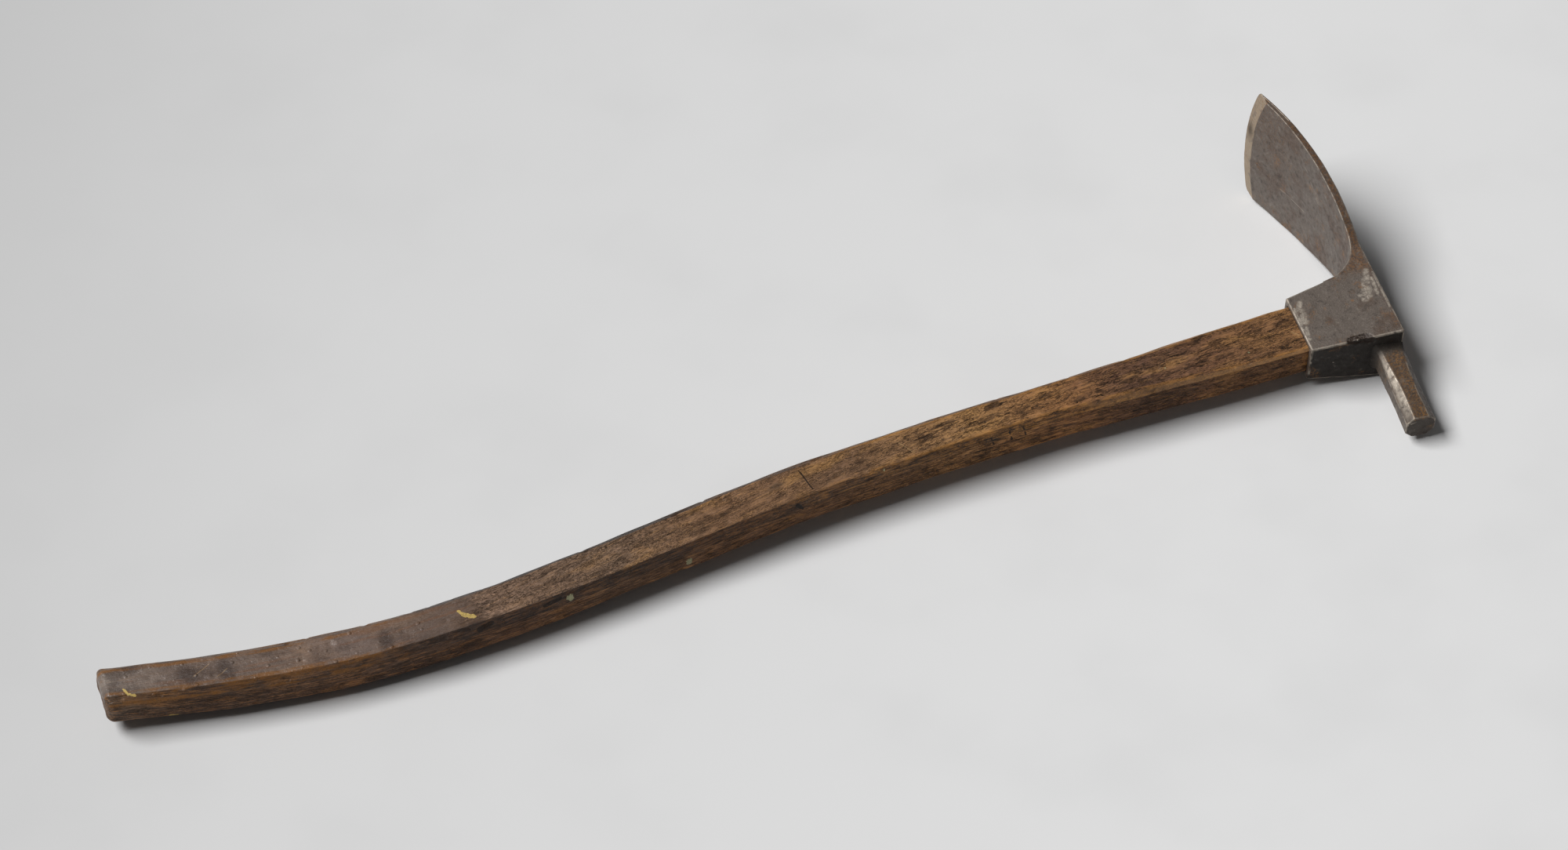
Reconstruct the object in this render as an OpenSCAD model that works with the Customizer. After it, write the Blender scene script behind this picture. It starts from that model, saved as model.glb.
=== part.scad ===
// Adze with a square peg on its poll, a fan-shaped blade and a long curved haft.
// Each piece is drawn along the eye: X runs from the rim to the far end, Y towards the blade,
// Z across the head. The finished tool is then laid on its side, on the blade's lower corner,
// the end of the peg and the haft.

/* [Eye] */
// Length of the eye along the haft
eye_len = 57; // [50:1:70]
// Width of the eye block at the rim, from the poll side to the blade side
rim_w = 43; // [40:0.5:46]
// Thickness of the eye block at the rim, cheek to cheek
rim_t = 28; // [26:0.5:32]
// Width of the eye block at the far end
far_w = 57; // [52:0.5:62]
// Thickness of the eye block at the far end
far_t = 42; // [36:0.5:46]
// Wall of the eye on its blade side and poll side
side_wall = 3.6; // [2.5:0.1:5]
// Wall of the eye at its cheeks
cheek_wall = 2.8; // [2.2:0.1:4.5]

/* [Blade] */
// Distance from the middle of the eye to the middle of the cutting edge
blade_reach = 162.5; // [145:0.5:175]
// Width of the cutting edge, corner to corner
edge_w = 92; // [80:1:105]
// Thickness of the blade above its root
blade_t = 5.4; // [4.5:0.1:7]
// Thickness of the blade at the edge, before its bevel is ground
tip_t = 3.2; // [2.4:0.1:4]
// Radius of the blade's outer face
outer_r = 266; // [240:1:300]
// Distance from the middle of the eye at which the outer face starts to curve
outer_start = 48; // [45:0.5:52]
// Distance from the middle of the eye at which the blade starts to widen
fan_start = 43; // [40:0.5:48]
// How soon the blade reaches its full width: 1 is a straight taper
fan_swell = 1.9; // [1:0.1:3]
// Radius of the fillet between the blade's inner face and the eye block
root_r = 26; // [18:0.5:30]
// Radius across the blade of the ground bevel, which makes the edge convex
bevel_r = 460; // [380:10:600]
// Lean of the ground bevel away from a plane square to the haft, in degrees
bevel_lean = 3; // [0:0.5:6]

/* [Steel edge] */
// Depth of the steel laid along the edge
steel_depth = 32; // [20:1:45]
// Thickness of that steel
steel_t = 1.3; // [0.8:0.1:1.6]

/* [Poll peg] */
// Width of the peg at its root
peg_root_w = 16.5; // [14:0.5:20]
// Width of the peg at its end
peg_end_w = 18.5; // [14:0.5:20]
// Thickness of the peg across the head
peg_t = 17; // [13:0.5:20]
// Chamfer on the peg's long edges
peg_chamfer = 4.5; // [2:0.25:5]
// Length of the peg beyond the eye block, along its middle
peg_len = 58; // [40:1:75]
// Lean of the peg towards the haft, in degrees
peg_lean = 2.5; // [0:0.5:6]
// Distance of the peg's root from the far end of the eye
peg_inset = 0; // [0:0.5:6]

/* [Haft] */
// Length of the haft from the rim of the eye to its butt
haft_len = 755; // [680:5:820]
// Distance from the rim to the shoulder of the haft's curve
shoulder_at = 300; // [260:5:330]
// Sideways set of the haft at the shoulder
shoulder_set = 18.5; // [5:0.5:30]
// Slope of the haft at the shoulder
shoulder_slope = 0.1; // [0.05:0.01:0.15]
// Distance from the rim to the lowest part of the haft's curve
bend_at = 605; // [560:5:640]
// Sideways set of the haft at its lowest part
bend_set = 57; // [40:1:65]
// Sideways set of the haft at the butt
butt_set = 40; // [25:1:50]
// Slope of the haft at the butt
butt_slope = 0.17; // [0.05:0.01:0.25]
// Slope of the haft at the rim
rim_slope = 0.05; // [0:0.01:0.08]
// Distance from the rim to the slender part of the haft
neck_at = 180; // [150:5:220]
// Width of the haft at its slender part
neck_w = 28; // [26:0.5:34]
// Thickness of the haft at its slender part
neck_t = 26.5; // [22:0.5:28]
// Distance from the rim to the broad part of the haft
waist_at = 400; // [360:5:440]
// Width of the haft at its broad part
waist_w = 32; // [28:0.5:36]
// Thickness of the haft at its broad part
waist_t = 22.5; // [20:0.5:26]
// Width of the haft at the grip
grip_w = 29.5; // [26:0.5:34]
// Thickness of the haft at the grip
grip_t = 25; // [22:0.5:28]
// Width of the haft at the butt
butt_w = 29; // [26:0.5:34]
// Thickness of the haft at the butt
butt_t = 24; // [22:0.5:28]
// Chamfer of the haft's edges in the eye
eye_chamfer = 1.6; // [0.8:0.1:2.5]
// Chamfer of the haft's edges at the slender part
neck_chamfer = 4; // [2:0.25:6]
// Chamfer of the haft's edges from the broad part to the butt
grip_chamfer = 5; // [3:0.25:6.5]
// Rounding of the edges of the butt's end
butt_round = 4; // [2:0.25:6]

/* [Wedges] */
// Length of the wooden wedge
wedge_len = 46; // [35:1:48]
// Thickness of the wooden wedge at the far end of the eye
wedge_t = 13; // [9:0.5:15]
// Thickness of the wooden wedge at its tip, the width of the saw cut
kerf = 1.4; // [1:0.1:2.5]
// Length of each iron wedge
iron_len = 30; // [20:1:36]
// Width of each iron wedge
iron_w = 10; // [7:0.5:11]
// Thickness of each iron wedge at the far end of the eye
iron_t = 4.5; // [3:0.25:6]
// Thickness of each iron wedge at its tip
iron_tip_t = 0.8; // [0.5:0.1:1.5]
// Clearance between the haft, its wedges and the eye
fit_gap = 0.1; // [0.05:0.05:0.3]

/* [Hidden] */

iron_colour = "#55504a";
steel_colour = "#857868";
peg_colour = "#5a4c3f";
haft_colour = "#6f4e2e";
wedge_colour = "#8a6a42";

// Extra length of a cutting shape beyond what it cuts, and how far the grinding may reach from the edge
over = 2;
ground_depth = 45;
// Rings of the haft between the rim and the start of the butt's rounding, and sides of the blade's fan
haft_rings = 44;
fan_points = 14;
$fn = 180;

// Opening of the eye
rim_open = [rim_w - 2 * side_wall, rim_t - 2 * cheek_wall];
far_open = [far_w - 2 * side_wall, far_t - 2 * cheek_wall];

// Slope of the eye block's poll side and blade side, and their angle to the eye's axis
side_slope = (far_w - rim_w) / 2 / eye_len;
side_angle = atan(side_slope);
function side_y(x) = rim_w / 2 + side_slope * x;
function cheek_z(x) = rim_t / 2 + (far_t - rim_t) / 2 / eye_len * x;

// Root fillet: its centre, and where it leaves the eye block
root_c_x = eye_len - blade_t - root_r;
root_c = [root_c_x, side_y(root_c_x) + root_r / cos(side_angle)];
root_toe = [root_c.x + root_r * sin(side_angle), root_c.y - root_r * cos(side_angle)];

// Outer face of the blade, and the point of the cutting edge at the middle of the blade
outer_c = [eye_len - outer_r, outer_start];
edge_x = outer_c.x + sqrt(outer_r ^ 2 - (blade_reach - outer_start) ^ 2);

// Inner face of the blade: it runs on from the root fillet and thins the blade towards the edge
inner_rise = blade_reach - root_c.y;
inner_turn = eye_len - blade_t - edge_x + tip_t;
inner_r = (inner_rise ^ 2 + inner_turn ^ 2) / 2 / inner_turn;
inner_c = [eye_len - blade_t - inner_r, root_c.y];

// A point of the cutting edge at z across the blade: the bevel's surface is stepped to the outer face
function bevel_x(y, z) =
    let (sag = bevel_r - sqrt(bevel_r ^ 2 - z ^ 2))
    edge_x + sag / cos(bevel_lean) + tan(bevel_lean) * (blade_reach - y);
function outer_y(x) = outer_start + sqrt(outer_r ^ 2 - (x - outer_c.x) ^ 2);
function edge_y(z, y, steps) =
    steps == 0 ? y : edge_y(z, outer_y(bevel_x(y, z)), steps - 1);
function edge_point(z) =
    let (y = edge_y(z, blade_reach, 12))
    [bevel_x(y, z), y, z];
corner_y = edge_point(edge_w / 2).y;

// Half width of the blade at y
root_half = cheek_z(eye_len - blade_t);
function fan_half(y) =
    let (t = min(1, max(0, (y - fan_start) / (corner_y - fan_start))))
    root_half + (edge_w / 2 - root_half) * (1 - (1 - t) ^ fan_swell);

// Peg: where its middle leaves the eye block, its direction, its taper and the corners of its end
peg_root_x = eye_len - peg_inset - peg_root_w / 2;
peg_root = [peg_root_x, -side_y(peg_root_x), 0];
peg_dir = [-sin(peg_lean), -cos(peg_lean), 0];
peg_across = [cos(peg_lean), -sin(peg_lean), 0];
peg_taper = atan((peg_end_w - peg_root_w) / 2 / peg_len);
peg_end_flat = peg_end_w / 2 - peg_chamfer / cos(peg_taper);
peg_corners = [
    for (side = [-1, 1])
    for (face = [-1, 1])
    for (p = [[peg_end_w / 2, peg_t / 2 - peg_chamfer], [peg_end_flat, peg_t / 2]])
    peg_root + peg_len * peg_dir + side * p.x * peg_across + [0, 0, face * p.y]
];

// Haft: a value that eases from knot to knot, and a curve with set heights and slopes at its ends
function ease(t) = t * t * (3 - 2 * t);
function eased(knots, s, i = 0) =
    i == len(knots) - 2 || s <= knots[i + 1][0]
        ? let (t = ease((s - knots[i][0]) / (knots[i + 1][0] - knots[i][0])))
            knots[i][1] * (1 - t) + knots[i + 1][1] * t
        : eased(knots, s, i + 1);
function curve(a, b, s) =
    let (span = b[0] - a[0], t = (s - a[0]) / span)
    a[1] * (1 - ease(t)) + b[1] * ease(t) + span * (a[2] * t * (1 - t) ^ 2 - b[2] * t ^ 2 * (1 - t));

// Knots of the haft's middle line: distance from the rim, set towards the blade, slope
rim_knot = [0, 0, -rim_slope];
shoulder_knot = [shoulder_at, -shoulder_set, -shoulder_slope];
bend_knot = [bend_at, -bend_set, 0];
butt_knot = [haft_len, -butt_set, butt_slope];
function haft_y(s) =
    s < shoulder_at ? curve(rim_knot, shoulder_knot, s)
        : s < bend_at ? curve(shoulder_knot, bend_knot, s)
        : curve(bend_knot, butt_knot, s);

width_knots = [
    [0, rim_open.x - 2 * fit_gap], [neck_at, neck_w], [waist_at, waist_w],
    [bend_at, grip_w], [haft_len, butt_w]
];
thick_knots = [
    [0, rim_open.y - 2 * fit_gap], [neck_at, neck_t], [waist_at, waist_t],
    [bend_at, grip_t], [haft_len, butt_t]
];
chamfer_knots = [
    [0, eye_chamfer], [neck_at, neck_chamfer], [waist_at, grip_chamfer], [haft_len, grip_chamfer]
];

// One ring of the haft: a rectangle with its corners cut off, square to the eye's axis
function haft_ring(x, y, w, t, c) = [
    for (p = [
        [w / 2, t / 2 - c], [w / 2 - c, t / 2], [c - w / 2, t / 2], [-w / 2, t / 2 - c],
        [-w / 2, c - t / 2], [c - w / 2, -t / 2], [w / 2 - c, -t / 2], [w / 2, c - t / 2]
    ])
    [x, y + p.x, p.y]
];
function shaft_ring(s, inset = 0) =
    haft_ring(
        -s, haft_y(s), eased(width_knots, s) - 2 * inset, eased(thick_knots, s) - 2 * inset,
        eased(chamfer_knots, s) - inset * (2 - sqrt(2))
    );

// Rings from the far end of the eye to the butt, whose end edges are rounded in three steps
butt_steps = [[0.7, 0.05], [0.3, 0.3], [0, 0.75]];
shaft_end = haft_len - butt_round;
rings = concat(
    [haft_ring(eye_len, 0, far_open.x - 2 * fit_gap, far_open.y - 2 * fit_gap, eye_chamfer)],
    [for (i = [0:haft_rings]) shaft_ring(shaft_end * i / haft_rings)],
    [for (b = butt_steps) shaft_ring(haft_len - butt_round * b[0], butt_round * b[1])]
);

// A closed skin over rings that all have the same number of points
module skin(rings) {
    n = len(rings[0]);
    last = (len(rings) - 1) * n;
    sides = [
        for (i = [0:len(rings) - 2])
        for (j = [0:n - 1])
        let (a = i * n + j, b = i * n + (j + 1) % n)
        each [[a, b, a + n], [b, b + n, a + n]]
    ];
    start_cap = [for (j = [1:n - 2]) [0, j + 1, j]];
    end_cap = [for (j = [1:n - 2]) [last, last + j, last + j + 1]];
    polyhedron([for (r = rings) each r], concat(start_cap, sides, end_cap));
}

// Resting on its side: the floor touches the blade's lower corner, the peg and the haft
function lowest(points, n, i = 0, best = undef) =
    i == len(points) ? best
        : lowest(points, n, i + 1, is_undef(best) || n * points[i] < n * best ? points[i] : best);
function plane_normal(a, b, c) =
    let (n = cross(b - a, c - a))
    n / norm(n) * sign(n.z);
blade_corner = edge_point(-edge_w / 2);
far_half_points = [
    for (r = rings)
    if (r[0].x < -haft_len / 2)
    each r
];
function settle(n, turns) =
    let (peg_point = lowest(peg_corners, n), haft_point = lowest(far_half_points, n))
    turns == 0 ? n : settle(plane_normal(blade_corner, peg_point, haft_point), turns - 1);
floor_n = settle([0, 0, 1], 6);
tilt_x = atan2(floor_n.y, floor_n.z);
tilt_y = -atan2(floor_n.x, norm([floor_n.y, floor_n.z]));
function tilted(p) =
    let (y = p.y * cos(tilt_x) - p.z * sin(tilt_x), z = p.y * sin(tilt_x) + p.z * cos(tilt_x))
    [p.x * cos(tilt_y) + z * sin(tilt_y), y, z * cos(tilt_y) - p.x * sin(tilt_y)];

// The origin is under the middle of the laid tool
far_corners = [
    for (y = [-1, 1])
    for (z = [-1, 1])
    [eye_len, y * far_w / 2, z * far_t / 2]
];
edge_points = [
    for (i = [-8:8])
    edge_point(i / 8 * edge_w / 2)
];
outer_points = [
    for (i = [-8:8])
    [eye_len, outer_start, i / 8 * fan_half(outer_start)]
];
reach = [
    for (p = concat(far_corners, edge_points, outer_points, peg_corners, [for (r = rings) each r]))
    tilted(p)
];
low = [for (k = [0:2]) min([for (p = reach) p[k]])];
high = [for (k = [0:2]) max([for (p = reach) p[k]])];

module laid() {
    translate([-(low.x + high.x) / 2, -(low.y + high.y) / 2, -low.z])
    rotate([tilt_x, tilt_y, 0])
    children();
}

// A straight-sided block that widens along the eye, with sizes [width, thickness] at the rim and far end
module flared(rim, far, start, end) {
    grow = (far - rim) / eye_len;
    a = rim + grow * start;
    b = rim + grow * end;
    height = max(a.y, b.y) + 2 * over;
    depth = max(a.x, b.x) + 2 * over;
    intersection() {
        translate([0, 0, -height / 2])
        linear_extrude(height)
        polygon([[start, -a.x / 2], [end, -b.x / 2], [end, b.x / 2], [start, a.x / 2]]);
        rotate([90, 0, 0])
        translate([0, 0, -depth / 2])
        linear_extrude(depth)
        polygon([[start, -a.y / 2], [end, -b.y / 2], [end, b.y / 2], [start, a.y / 2]]);
    }
}

// Section of the blade through its middle, before the edge is ground
module blade_section() {
    far_side = side_y(eye_len);
    difference() {
        union() {
            polygon([root_toe, [eye_len, far_side], [eye_len, outer_start], [root_toe.x, outer_start]]);
            intersection() {
                translate(outer_c)
                circle(outer_r, $fn = 360);
                translate([0, outer_start])
                square([eye_len, blade_reach]);
            }
        }
        difference() {
            translate(inner_c)
            circle(inner_r, $fn = 360);
            polygon([root_toe, [eye_len, far_side], [eye_len, root_c.y], root_c]);
        }
        translate(root_c)
        circle(root_r);
    }
}

// Outline of the blade seen along the haft: it fans out from the eye block to the edge
module blade_outline() {
    side = [
        for (i = [0:fan_points])
        let (y = fan_start + (corner_y - fan_start) * i / fan_points)
        [y, fan_half(y)]
    ];
    top = blade_reach + over;
    upper = concat([[0, root_half]], side, [[top, edge_w / 2]]);
    lower = [for (i = [len(upper) - 1:-1:0]) [upper[i].x, -upper[i].y]];
    polygon(concat(upper, lower));
}

// The forged blade before its edge is ground; below the fan its sides are flush with the cheeks
module blade_blank() {
    intersection() {
        translate([0, 0, -edge_w])
        linear_extrude(2 * edge_w)
        blade_section();
        rotate([90, 0, 90])
        linear_extrude(eye_len + over)
        blade_outline();
        union() {
            flared([2 * fan_start, rim_t], [2 * fan_start, far_t], 0, eye_len);
            translate([0, fan_start, -edge_w])
            cube([eye_len, blade_reach, 2 * edge_w]);
        }
    }
}

// What is ground away: all that lies near the edge and outside a large leaning cylinder
module ground_away() {
    difference() {
        translate([0, blade_reach - ground_depth, -edge_w])
        cube([eye_len, ground_depth + 2 * over, 2 * edge_w]);
        translate([edge_x, blade_reach, 0])
        rotate([0, 0, bevel_lean])
        translate([bevel_r, over * 10, 0])
        rotate([90, 0, 0])
        cylinder(r = bevel_r, h = blade_reach, $fn = 360);
    }
}

// The whole blade, iron and steel together
module blade_shape() {
    difference() {
        blade_blank();
        ground_away();
    }
}

// The layer of steel at the blade's outer face, along the edge
module steel_layer() {
    translate([0, 0, -edge_w])
    linear_extrude(2 * edge_w)
    intersection() {
        difference() {
            translate(outer_c)
            circle(outer_r + over, $fn = 360);
            translate(outer_c)
            circle(outer_r - steel_t, $fn = 360);
        }
        translate([0, blade_reach - steel_depth])
        square([eye_len + over, steel_depth + over]);
    }
}

// Room for the wooden wedge, a gap wider than the wedge on each side
module wedge_room(gap) {
    tip = eye_len - wedge_len - gap;
    height = far_t + 2 * over;
    translate([0, 0, -height / 2])
    linear_extrude(height)
    polygon([
        [tip, -kerf / 2 - gap], [eye_len + gap, -wedge_t / 2 - gap],
        [eye_len + gap, wedge_t / 2 + gap], [tip, kerf / 2 + gap]
    ]);
}

// Room for the two iron wedges, each across the middle of one half of the split haft
iron_mid_x = eye_len - iron_len / 2;
iron_mid_y = (
    kerf / 2 + (wedge_t - kerf) / 2 * (1 - iron_len / 2 / wedge_len)
    + rim_open.x / 2 + (far_open.x - rim_open.x) / 2 * iron_mid_x / eye_len
) / 2;
module iron_room(gap) {
    for (side = [-1, 1])
        translate([0, side * iron_mid_y, 0])
        rotate([90, 0, 0])
        translate([0, 0, -iron_w / 2 - gap])
        linear_extrude(iron_w + 2 * gap)
        polygon([
            [eye_len - iron_len - gap, -iron_tip_t / 2 - gap], [eye_len + gap, -iron_t / 2 - gap],
            [eye_len + gap, iron_t / 2 + gap], [eye_len - iron_len - gap, iron_tip_t / 2 + gap]
        ]);
}

module haft() {
    color(haft_colour)
    laid()
    difference() {
        skin(rings);
        wedge_room(fit_gap);
        iron_room(fit_gap);
    }
}

module eye_block() {
    color(iron_colour)
    laid()
    difference() {
        flared([rim_w, rim_t], [far_w, far_t], 0, eye_len);
        flared(rim_open, far_open, -over, eye_len + over);
    }
}

module blade() {
    color(iron_colour)
    laid()
    difference() {
        blade_shape();
        steel_layer();
    }
}

module edge_steel() {
    color(steel_colour)
    laid()
    intersection() {
        blade_shape();
        steel_layer();
    }
}

// One side of the peg with its two chamfers, reaching past the other side; drawn along Z from its root
module peg_side(side) {
    flat = peg_t / 2 - peg_chamfer;
    back = -2 * peg_end_w;
    translate([side * peg_root_w / 2, 0, 0])
    rotate([0, side * peg_taper, 0])
    translate([0, 0, -peg_root_w])
    linear_extrude(peg_len + 2 * peg_root_w)
    polygon([
        [0, flat], [-side * peg_chamfer, peg_t / 2], [side * back, peg_t / 2],
        [side * back, -peg_t / 2], [-side * peg_chamfer, -peg_t / 2], [0, -flat]
    ]);
}

module poll_peg() {
    color(peg_colour)
    laid()
    difference() {
        translate(peg_root)
        rotate([90, 0, -peg_lean])
        intersection() {
            peg_side(1);
            peg_side(-1);
            translate([-peg_end_w, -peg_t, -peg_root_w / 2])
            cube([2 * peg_end_w, 2 * peg_t, peg_len + peg_root_w / 2]);
        }
        translate([0, 0, -far_t])
        linear_extrude(2 * far_t)
        polygon([
            [-over, -side_y(-over)], [eye_len + far_w, -side_y(eye_len + far_w)],
            [eye_len + far_w, far_w], [-over, far_w]
        ]);
    }
}

module wood_wedge() {
    color(wedge_colour)
    laid()
    intersection() {
        flared(rim_open - [2, 2] * fit_gap, far_open - [2, 2] * fit_gap, 0, eye_len);
        wedge_room(0);
    }
}

module iron_wedges() {
    color(iron_colour)
    laid()
    iron_room(0);
}

haft();
eye_block();
blade();
edge_steel();
poll_peg();
wood_wedge();
iron_wedges();
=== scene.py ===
"""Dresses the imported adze: a worn hardwood haft and a hand-forged iron head, in soft studio light.

Sizes are millimetres in the tool's own frame, the one its solids are drawn in: X runs along the eye from
its rim (0) to its far end, with the haft towards -X, Y points to the blade and Z is across the head. Laid
turns that frame as the tool lies on the floor and brings it to metres.
"""

import logging
import math
from dataclasses import dataclass
from enum import Enum
from functools import reduce
from itertools import product
from typing import Any, Callable

import bmesh
import bpy
import numpy as np
from mathutils import Matrix, Vector


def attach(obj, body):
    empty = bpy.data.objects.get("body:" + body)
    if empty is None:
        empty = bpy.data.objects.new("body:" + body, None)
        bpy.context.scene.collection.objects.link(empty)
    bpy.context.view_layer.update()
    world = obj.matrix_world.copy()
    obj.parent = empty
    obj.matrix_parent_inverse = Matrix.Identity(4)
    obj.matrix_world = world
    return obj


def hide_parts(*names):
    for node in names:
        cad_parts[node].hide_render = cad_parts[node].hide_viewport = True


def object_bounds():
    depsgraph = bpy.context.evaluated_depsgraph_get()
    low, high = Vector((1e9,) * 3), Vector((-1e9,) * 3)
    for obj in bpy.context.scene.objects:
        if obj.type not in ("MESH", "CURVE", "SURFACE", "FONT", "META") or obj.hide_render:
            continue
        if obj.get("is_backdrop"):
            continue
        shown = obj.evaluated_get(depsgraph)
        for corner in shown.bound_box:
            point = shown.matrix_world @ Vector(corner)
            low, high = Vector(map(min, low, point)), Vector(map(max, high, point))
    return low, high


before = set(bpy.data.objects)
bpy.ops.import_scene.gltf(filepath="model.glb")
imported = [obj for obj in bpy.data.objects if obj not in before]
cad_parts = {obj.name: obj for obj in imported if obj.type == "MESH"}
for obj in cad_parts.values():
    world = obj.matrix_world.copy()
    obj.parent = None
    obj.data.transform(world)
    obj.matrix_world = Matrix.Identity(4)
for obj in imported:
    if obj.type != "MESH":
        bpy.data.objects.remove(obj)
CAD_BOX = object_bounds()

LOG = logging.getLogger("adze")
MM = 0.001  # metres in a millimetre
SAME_PLACE = 1e-7  # metres within which two points are one
TINY = 1e-9  # keeps a division by a length of nought from failing
QUARTER_TURN = math.pi / 2.0
ROUND_CORNER = 2.0 - math.sqrt(2.0)  # chamfer that a rounded square corner takes off, per unit of radius
CORE = 0.25  # share of a mark's reach within which it is full
AXIS_PRIMES = (73856093, 19349663, 83492791)  # stir a lattice place into a random-looking number
SEED_PRIME = 2654435761  # stirs in the seed
MIX_PRIME = 2246822519  # stirs once more
SEED_SHIFT = 0.37  # keeps the lattices of two seeds apart
WORD, HALF_WORD = 0xFFFFFFFF, 0xFFFF  # masks of 32 and of 16 bits
Tree = bpy.types.NodeTree
Socket = bpy.types.NodeSocket
Colour = tuple[float, float, float, float]
Triple = tuple[float, float, float]
Pair = tuple[float, float]
Tones = tuple[tuple[float, str], ...]  # places along a line and the colour there
Knots = tuple[tuple[float, float], ...]  # places along a line and the size there


class Slot(Enum):
    """Material slots of the record."""

    WOOD = "wood"
    IRON = "iron"
    STEEL = "steel"
    PEG = "peg"


class Mark(Enum):
    """Point attributes that the materials read."""

    PLACE = "place"  # tool frame place, or along, across and up on the haft, in metres
    WEAR = "wear"  # 1 on the arrises that hands and work have rubbed
    GROUND = "ground"  # 1 where a grindstone has cut the bevel
    PAINTED_HIGHLIGHT = "polish"  # 1 where a highlight is painted on a face
    SEAM = "seam"  # 1 in the open forge weld
    SOOT_AND_SHADE = "soot"  # 1 where a face is sooty, and where shade is painted dark on faces turned from the light
    BROWN = "brown"  # 1 where a face has turned brown all over
    FACING = "facing"  # 1 on the haft's upper face, 0 on its sides, -1 below


class Step(Enum):
    """Steps that recur in the trees: a node's type name and its settings, with the inputs that it takes."""

    BAND = ("ShaderNodeMapRange", {"interpolation_type": "SMOOTHSTEP"})  # value, low, high, bottom, top
    RANGE = ("ShaderNodeMapRange", {})  # the same, without the smooth ends
    LAYER = ("ShaderNodeMix", {"data_type": "RGBA"})  # share, colour below, colour above
    STAIN = ("ShaderNodeMix", {"data_type": "RGBA", "blend_type": "MULTIPLY"})  # share, colour, stain
    PLUS = ("ShaderNodeMath", {"operation": "ADD"})  # two values
    LESS = ("ShaderNodeMath", {"operation": "SUBTRACT"})  # two values
    GAIN = ("ShaderNodeMath", {"operation": "MULTIPLY_ADD"})  # value, factor, value that is added
    TIMES = ("ShaderNodeMath", {"operation": "MULTIPLY"})  # two values or more
    MOST = ("ShaderNodeMath", {"operation": "MAXIMUM"})  # two values or more


def linear(hex_colour: str) -> Colour:
    """Turns an sRGB colour into a linear one.

    Args:
        hex_colour: The colour as "#RRGGBB".

    Returns:
        Linear red, green and blue, with an alpha of 1.
    """
    parts = [int(hex_colour[i : i + 2], 16) / 255.0 for i in (1, 3, 5)]
    red, green, blue = (p / 12.92 if p <= 0.04045 else ((p + 0.055) / 1.055) ** 2.4 for p in parts)
    return red, green, blue, 1.0


def add(
    tree: Tree,
    kind: Step | str,
    *values: Any,
    named: dict[str, Any] | None = None,
    out: str | int = 0,
    stops: list[tuple[float, Colour]] | None = None,
    **settings: Any,
) -> Socket:
    """Adds a node with its settings and links.

    Args:
        tree: The tree that gets the node.
        kind: A step, or a node's type name.
        values: Values or sockets for the node's open inputs, in their order.
        named: Values or sockets by input name.
        out: Name or number of the output to hand back.
        stops: Places and colours of a colour ramp.
        settings: Properties of the node.

    Returns:
        The chosen output socket, or the node's first input if it has no output.
    """
    if kind in (Step.TIMES, Step.MOST) and len(values) > 2:
        values = (add(tree, kind, *values[:-1]), values[-1])
    type_name, preset = kind.value if isinstance(kind, Step) else (kind, {})
    node = tree.nodes.new(type_name)
    for key, value in (preset | settings).items():
        setattr(node, key, value)
    for number, (position, colour) in enumerate(stops or []):
        elements = node.color_ramp.elements
        element = elements[number] if number < 2 else elements.new(position)
        element.position, element.color = position, colour
    inputs = [s for s in node.inputs if s.enabled]
    wanted = list(zip(inputs, values))
    wanted += [(next(s for s in inputs if s.name == name), value) for name, value in (named or {}).items()]
    for socket, value in wanted:
        if isinstance(value, Socket):
            tree.links.new(value, socket)
        else:
            socket.default_value = value
    outputs = [s for s in node.outputs if s.enabled]
    if not outputs:
        return node.inputs[0]
    return outputs[out] if isinstance(out, int) else next(s for s in outputs if s.name == out)


def smooth_noise(points: np.ndarray, size: float, seed: int) -> np.ndarray:
    """Gives smooth noise on a lattice.

    Args:
        points: Places, with the three coordinates last.
        size: Lattice step, in the units of the places.
        seed: Number that picks the pattern.

    Returns:
        A value from -1 to 1 for each place.
    """
    scaled = points / size + SEED_SHIFT * seed
    cell = np.floor(scaled).astype(np.int64)
    part = scaled - cell
    part = part * part * (3.0 - 2.0 * part)
    total = np.zeros(points.shape[:-1])
    for corner in product((0, 1), repeat=3):
        at = cell + np.array(corner)
        parts = (at[..., axis] * prime for axis, prime in enumerate(AXIS_PRIMES))
        mixed = reduce(np.bitwise_xor, parts) ^ seed * SEED_PRIME
        mixed = ((mixed & WORD) ^ ((mixed & WORD) >> 15)) * MIX_PRIME & WORD
        value = ((mixed ^ (mixed >> 13)) & HALF_WORD) / (0.5 * HALF_WORD) - 1.0
        total += value * np.prod(np.where(np.array(corner), part, 1.0 - part), axis=-1)
    return total


def ease(value: np.ndarray, low: float, high: float) -> np.ndarray:
    """Smooth step from 0 at low to 1 at high."""
    share = np.clip((value - low) / (high - low), 0.0, 1.0)
    return share * share * (3.0 - 2.0 * share)


@dataclass(frozen=True)
class Laid:
    """How the tool lies, as its solids do: turned about X, then about Y, then set down on the floor.

    Attributes:
        tilt_x: Turn about X, in degrees.
        tilt_y: Turn about Y, in degrees.
        shift: Move that puts the lowest point on the floor and the middle of the box over the origin.
    """

    tilt_x: float = 8.78359
    tilt_y: float = 0.0933665
    shift: Triple = (348.9885, -38.4638, 25.1986)

    def place(self, points: np.ndarray) -> np.ndarray:
        """Lays tool frame places down.

        Args:
            points: Places in the tool frame, in millimetres.

        Returns:
            The same places on the floor, in metres.
        """
        about_x = Matrix.Rotation(math.radians(self.tilt_x), 3, "X")
        about_y = Matrix.Rotation(math.radians(self.tilt_y), 3, "Y")
        return (points @ np.array(about_y @ about_x).T + np.array(self.shift)) * MM


LAID = Laid()


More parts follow.
